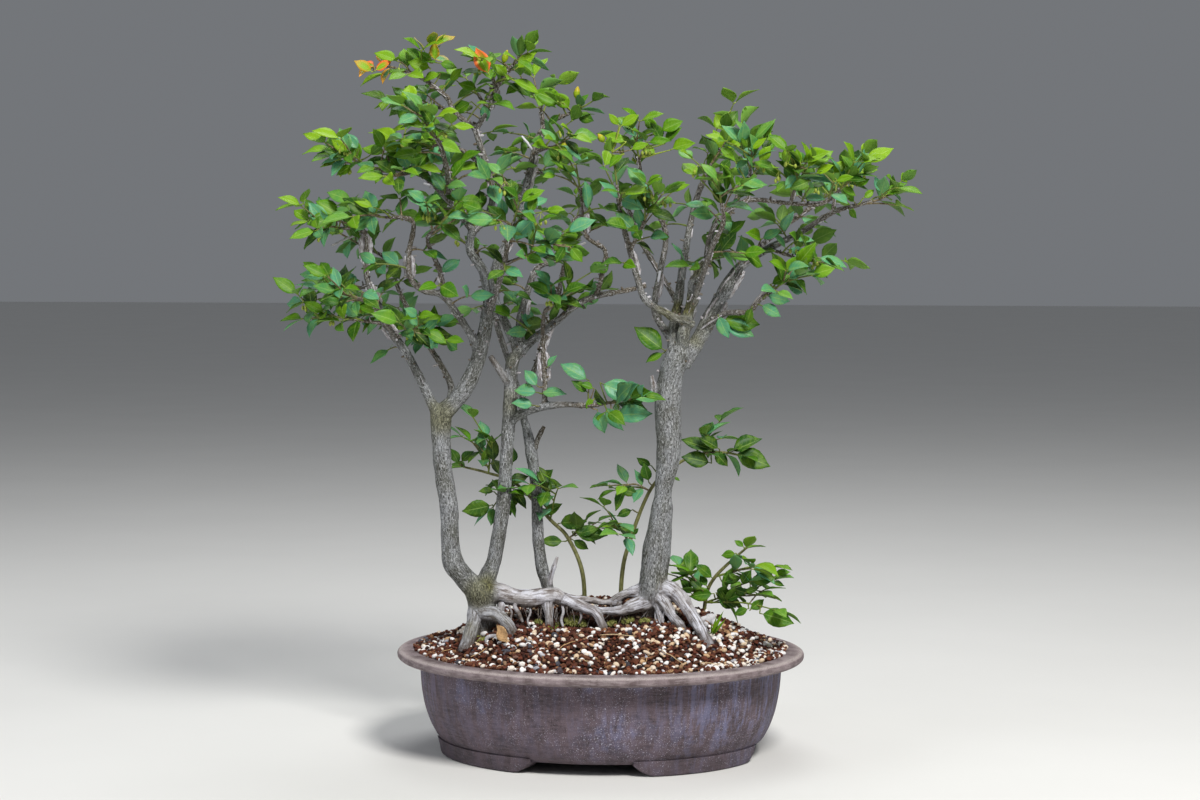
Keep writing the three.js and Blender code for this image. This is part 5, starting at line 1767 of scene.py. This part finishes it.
def bark_material():
    """Grey speckled bark, browner on thin wood, olive where damp, bleached on roots and pale on cork."""
    f = Finish("bark", 0.86, 0.25)
    at = f.attribute("grain")
    bleach, moss, cork = f.parts("bark")
    thick, furrow, dirt_and_shade = f.parts("girth")
    patches = f.noise(f.stretch(at, (1, 1, 0.5)), 0.07, 3)
    speckle = f.noise(f.stretch(at, (1, 1, 0.6)), 0.85, 3, 0.7)
    grit = f.noise(at, 1.9, 2, 0.6)
    fissure = f.noise(f.stretch(at, (1, 1, 0.16)), 0.55, 3, 0.6, 0.4)
    crack = f.noise(f.stretch(at, (1, 1, 0.07)), 0.5, 3, 0.65, 0.6)
    colour = f.coats(
        f.fade(patches, 0.35, 0.65, "5e5f5a", "85878a"),
        (thick, 8.5, 4, 1.0, "63594c"),
        (speckle, 0.5, 0.66, 0.7, "bcbdc0"),
        (speckle, 0.49, 0.37, 0.88, "302f2b"),
        (fissure, 0.42, 0.3, 0.55, "3a352f"),
    )
    groove = f.times(f.ramp(furrow, -0.1, -0.4, 0, 0.5), f.ramp(thick, 18, 11, 0.45, 1))
    colour = f.mix(groove, colour, "37322b")
    damp = f.times(moss, f.ramp(patches, 0.25, 0.6, 0.6, 1))
    colour = f.mix(damp, colour, f.fade(speckle, 0.4, 0.62, "3a3823", "7c7a4e"))
    bare = f.coats(
        f.fade(crack, 0.42, 0.58, "a3a0a6", "dedee8"),
        (patches, 0.6, 0.35, 0.5, "94897d"),
        (crack, 0.44, 0.34, 0.85, "55463d"),
        (furrow, -0.08, -0.4, 0.7, "635650"),
        (grit, 0.44, 0.3, 0.55, "5e5248"),
    )
    colour = f.mix(f.times(bleach, f.ramp(patches, 0.2, 0.5, 0.75, 1)), colour, bare)
    # Soil brown near the soil and on the undersides of low roots: partly soil dirt, partly painted shade
    soil = f.fade(grit, 0.35, 0.65, "2c211a", "5c4a3b")
    colour = f.mix(f.times(dirt_and_shade, f.ramp(speckle, 0.3, 0.6, 0.95, 0.6)), colour, soil)
    scales = f.noise(f.stretch(at, (1, 1, 0.5)), 0.35, 3)
    colour = f.mix(cork, colour, f.fade(scales, 0.4, 0.62, "8f8788", "d0ced4"))
    height = f.math(
        "ADD", f.times(speckle, 0.6), f.times(fissure, 1.0), f.times(crack, bleach, 1.2), f.times(grit, 0.25)
    )
    return f.done(colour, f.ramp(patches, 0.3, 0.7, 0.78, 0.92), height, 0.9)


def leaf_material():
    """Satin leaf: bright yellow-green when young, dark when old, paler below, with veins; some darker leaves
    turn blue-green, partly their own colour and partly painted sheen.
    """
    f = Finish("leaf", 0.42, 0.24)
    across, along, tone = f.parts("leaf")
    under, blush, draw = f.parts("look")
    width = f.math("ABSOLUTE", across)
    colour = f.bands(tone, (0.0, "143208"), (0.28, "28560d"), (0.58, "477b04"), (1.0, "82a80c"))
    # Blue-green tint on darker leaves whose draw is high: partly the leaves' own colour, partly painted
    # sheen
    blue_tint_and_sheen = f.times(f.ramp(draw, 0.5, 0.82), f.ramp(tone, 0.85, 0.4), 0.8)
    colour = f.mix(blue_tint_and_sheen, colour, "559a76")
    colour = f.coats(colour, (f.noise(f.place_mm(), 0.12, 2), 0.35, 0.7, 0.2, "93b420"))
    reach = f.math("SUBTRACT", along, f.times(width, 0.22))
    veins = f.math("ABSOLUTE", f.math("SINE", f.times(reach, 22)))
    line = f.math("MAXIMUM", f.ramp(veins, 0.22, 0.0, 0, 0.2), f.ramp(width, 0.08, 0.02, 0, 0.34))
    colour = f.mix(line, colour, "a9c46a")
    edge = f.ramp(f.math("MAXIMUM", width, f.math("SUBTRACT", along, 0.1)), 0.35, 0.8)
    colour = f.mix(f.times(edge, blush), colour, f.fade(draw, 0.2, 0.8, "dc6a30", "e2a035"))
    colour = f.mix(under, colour, f.mix(0.4, colour, "6f9444"))
    rough = f.math("ADD", f.ramp(draw, 0.0, 1.0, 0.5, 0.38), f.times(under, 0.2))
    return f.done(colour, rough, f.times(line, -1.0), 0.3)


def shoot_material():
    """Young green shoots that turn brown with age; the suckers' stems are olive-brown."""
    f = Finish("shoot", 0.6, 0.35)
    tone, old = f.parts("leaf")[2], f.parts("look")[2]
    streak = f.noise(f.stretch(f.place_mm(), (1, 1, 0.3)), 0.6, 2)
    green = f.fade(tone, 0.2, 0.9, "5f6d2e", "96a83a")
    brown = f.fade(streak, 0.35, 0.65, "574a38", "86795c")
    colour = f.coats(f.fade(old, 0.4, 0.8, green, brown), (streak, 0.45, 0.3, 0.4, "4c4030"))
    return f.done(colour, None, streak, 0.25)


def clay_material():
    """Unglazed mauve-brown clay with a bluish lime bloom, white flecks, painted shade towards the bottom and
    a tan rim with a painted highlight along its upper edge.
    """
    f = Finish("clay", 0.72, 0.35)
    at = f.place_mm()
    x, _, z = f.split(at)
    broad = f.noise(at, 0.018, 3, 0.6)
    cloud = f.noise(f.stretch(at, (1, 1, 0.6)), 0.05, 4, 0.65)
    streak = f.noise(f.stretch(at, (1, 1, 0.1)), 0.12, 4, 0.7)
    brush = f.noise(f.stretch(at, (0.16, 0.16, 1)), 0.5, 3, 0.6)
    fleck = f.noise(at, 0.9, 2, 0.5)
    fine = f.noise(at, 1.4, 3, 0.6)
    colour = f.coats(
        f.fade(cloud, 0.35, 0.65, "352b2e", "62545b"),
        (brush, 0.42, 0.6, 0.4, "726268"),
        (fine, 0.4, 0.65, 0.3, "7c6d78"),
        (streak, 0.45, 0.3, 0.55, "352b2f"),
    )
    ends = f.math("MAXIMUM", f.ramp(x, 40, 180, 0.2, 1), f.ramp(x, -120, -190, 0, 0.7))
    spots = f.times(f.ramp(broad, 0.52, 0.66), f.ramp(streak, 0.38, 0.6, 0.1, 0.7))
    bloom = f.math("MAXIMUM", f.times(f.ramp(streak, 0.44, 0.62), ends), spots)
    colour = f.mix(f.times(bloom, f.ramp(z, 18, 50, 0.4, 0.75)), colour, "787b9f")
    salt = f.times(f.ramp(fleck, 0.62, 0.68), f.ramp(broad, 0.4, 0.62, 0.1, 0.8))
    # Painted shade: the clay darkens below 34 mm, on the lower wall under the belly and on the feet
    colour = f.coats(f.mix(salt, colour, "c2bfce"), (z, 34, 2, 0.4, "2c2629"))
    lip = f.coats(
        f.fade(cloud, 0.35, 0.62, "5f5152", "85777a"),
        (brush, 0.45, 0.62, 0.4, "a69a9b"),
        (fine, 0.46, 0.34, 0.5, "4a3c37"),
    )
    # Painted highlight: a paler band, broken up by noise, along the lip's upper edge
    rim_highlight = f.times(f.ramp(z, 101.4, 103), f.ramp(z, 104.6, 103.4))
    lip = f.mix(f.times(rim_highlight, f.ramp(fine, 0.35, 0.6, 0.2, 0.8)), lip, "bdb1ae")
    colour = f.fade(z, 91, 95, colour, lip)
    return f.done(colour, f.ramp(cloud, 0.3, 0.7, 0.62, 0.85), f.math("ADD", fine, cloud), 0.5)


def lava_material():
    """Rust, brown, tan and orange stones with a few blue-grey ones."""
    f = Finish("lava", 0.92, 0.25)
    draw, shade, _ = f.parts("stone")
    grit = f.noise(f.place_mm(), 0.9, 3, 0.65)
    colour = f.bands(
        draw, (0.0, "331d18"), (0.25, "542d23"), (0.5, "74402f"), (0.66, "482f27"), (0.8, "86583e"),
        (0.9, "b08a66"), (0.94, "585c68"), (1.0, "2e2a2a"),
    )
    colour = f.mix(f.ramp(grit, 0.3, 0.6, 0.1, 1), "2e1b14", colour)
    return f.done(f.coats(colour, (shade, 0.5, 1.0, 0.25, "9a563c")), None, grit, 0.7)


def pumice_material():
    """Rounded white, cream, honey and pale grey stones."""
    f = Finish("pumice", 0.9, 0.3)
    grit = f.noise(f.place_mm(), 0.8, 3, 0.65)
    colour = f.bands(
        f.parts("stone")[0], (0.0, "c39d74"), (0.15, "dac3a6"), (0.36, "e9dfd3"), (0.58, "f8f6f5"),
        (0.88, "e6e3e3"), (1.0, "9fa0ab"),
    )
    return f.done(f.coats(colour, (grit, 0.46, 0.3, 0.6, "94785f")), None, grit, 0.6)


def moss_material():
    f = Finish("moss", 0.9, 0.2)
    patch = f.noise(f.place_mm(), 0.3, 3)
    colour = f.bands(f.parts("stone")[0], (0.0, "525c28"), (0.5, "868b46"), (1.0, "bbb976"))
    return f.done(f.coats(colour, (patch, 0.35, 0.65, 0.5, "4b4426")), None, patch, 0.2)


def dry_material():
    """Dead leaf and straws: tan and orange-brown with darker spots."""
    f = Finish("dry", 0.8, 0.25)
    spots = f.noise(f.place_mm(), 0.5, 3)
    colour = f.mix(f.parts("leaf")[2], "b4814c", "cdb690")
    return f.done(f.coats(colour, (spots, 0.5, 0.7, 0.7, "6b4526")), None, spots, 0.2)


def soil_material():
    f = Finish("soil", 0.95, 0.2)
    at = f.place_mm()
    colour = f.fade(f.noise(at, 0.4, 3), 0.35, 0.65, "22140e", "4c3126")
    return f.done(colour, None, f.noise(at, 0.8, 3), 1.2)


def mesh_material():
    f = Finish("mesh", 0.6, 0.4)
    grain = f.noise(f.place_mm(), 1.2, 3)
    return f.done(f.fade(grain, 0.4, 0.7, "1c1d1f", "33353a"), None, grain, 0.1)


def wire_material():
    f = Finish("wire", 0.4, 0.5)
    f.shader.inputs["Metallic"].default_value = 0.9
    streak = f.noise(f.place_mm(), 0.8, 3)
    return f.done(f.fade(streak, 0.35, 0.7, "7c5c40", "a17c58"), None, streak, 0.05)


def floor_material():
    f = Finish("floor", 0.7, 0.3)
    return f.done(f.mix(f.noise(f.place_mm(), 0.004, 3), "dcdbd8", "e2e1de"))


# Floor, lights and camera


def make_floor():
    mesh = bpy.data.meshes.new("floor")
    far = FLOOR_HALF_M
    mesh.from_pydata([(-far, -far, 0), (far, -far, 0), (far, far, 0), (-far, far, 0)], [], [(0, 1, 2, 3)])
    mesh.materials.append(floor_material())
    add_object("floor", mesh)


def make_light(name, place_m, aim_m, size_m, watts, colour):
    data = bpy.data.lights.new(name, "AREA")
    data.shape = "DISK"
    data.size = size_m
    data.energy = watts
    data.color = colour
    light = add_object(name, data)
    light.location = place_m
    light.rotation_euler = (Vector(aim_m) - Vector(place_m)).to_track_quat("-Z", "Y").to_euler()


def make_world():
    world = bpy.data.worlds.new("studio")
    world.use_nodes = True
    background = world.node_tree.nodes["Background"]
    background.inputs["Color"].default_value = WORLD_COLOUR
    background.inputs["Strength"].default_value = WORLD_STRENGTH
    bpy.context.scene.world = world


def make_camera():
    data = bpy.data.cameras.new("camera")
    data.sensor_width = SENSOR_MM
    data.lens = LENS_MM
    camera = add_object("camera", data)
    back = EYE_DISTANCE * MM
    camera.location = (back * math.sin(FRONT_TURN), -back * math.cos(FRONT_TURN), EYE_HEIGHT * MM)
    camera.rotation_euler = (math.pi / 2 - EYE_PITCH, 0, FRONT_TURN)
    bpy.context.scene.camera = camera


bpy.context.scene.view_settings.view_transform = "Standard"
make_floor()
make_world()
for light in LIGHTS:
    make_light(*light)
make_camera()

bark, leaf, shoot, dry = bark_material(), leaf_material(), shoot_material(), dry_material()
make_piece("trunks_and_roots", thick_wood(), [bark], ["wood"])
make_piece("thin_limbs", thin_wood(), [bark], ["wood"])
for number in range(len(SPRAYS)):
    node = f"spray_{number + 1:02d}"
    make_piece(f"{node}_leaves", leafy_spray(number), [leaf, shoot], [node])
for order, node in enumerate(SUCKERS):
    make_piece(f"{node}_leaves", leafy_sucker(node, 100 + 10 * order), [leaf, shoot], [node])
make_piece("inner_leaves_left", inner_foliage(False), [leaf, shoot])
make_piece("inner_leaves_right", inner_foliage(True), [leaf, shoot])

pot_piece(clay_material())
make_piece("soil_bed", soil_bed(), [soil_material()], ["soil"])
dark_grains, pale_grains = soil_grains()
make_piece("rust_grains", dark_grains, [lava_material()], smooth=False)
make_piece("cream_grains", pale_grains, [pumice_material()])
make_piece("hair_roots", rootlets(), [bark])
make_piece("moss_cushions", moss_cushions(), [moss_material()])
make_piece("dry_leaf_and_needles", dead_bits(), [dry, dry])
make_piece("seedlings", grass_tuft(), [leaf, shoot])
screen_finish, wire_finish = mesh_material(), wire_material()
for number in (1, 2):
    staple(number, wire_finish)
    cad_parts[f"drain_screen_{number}"].data.materials[0] = screen_finish
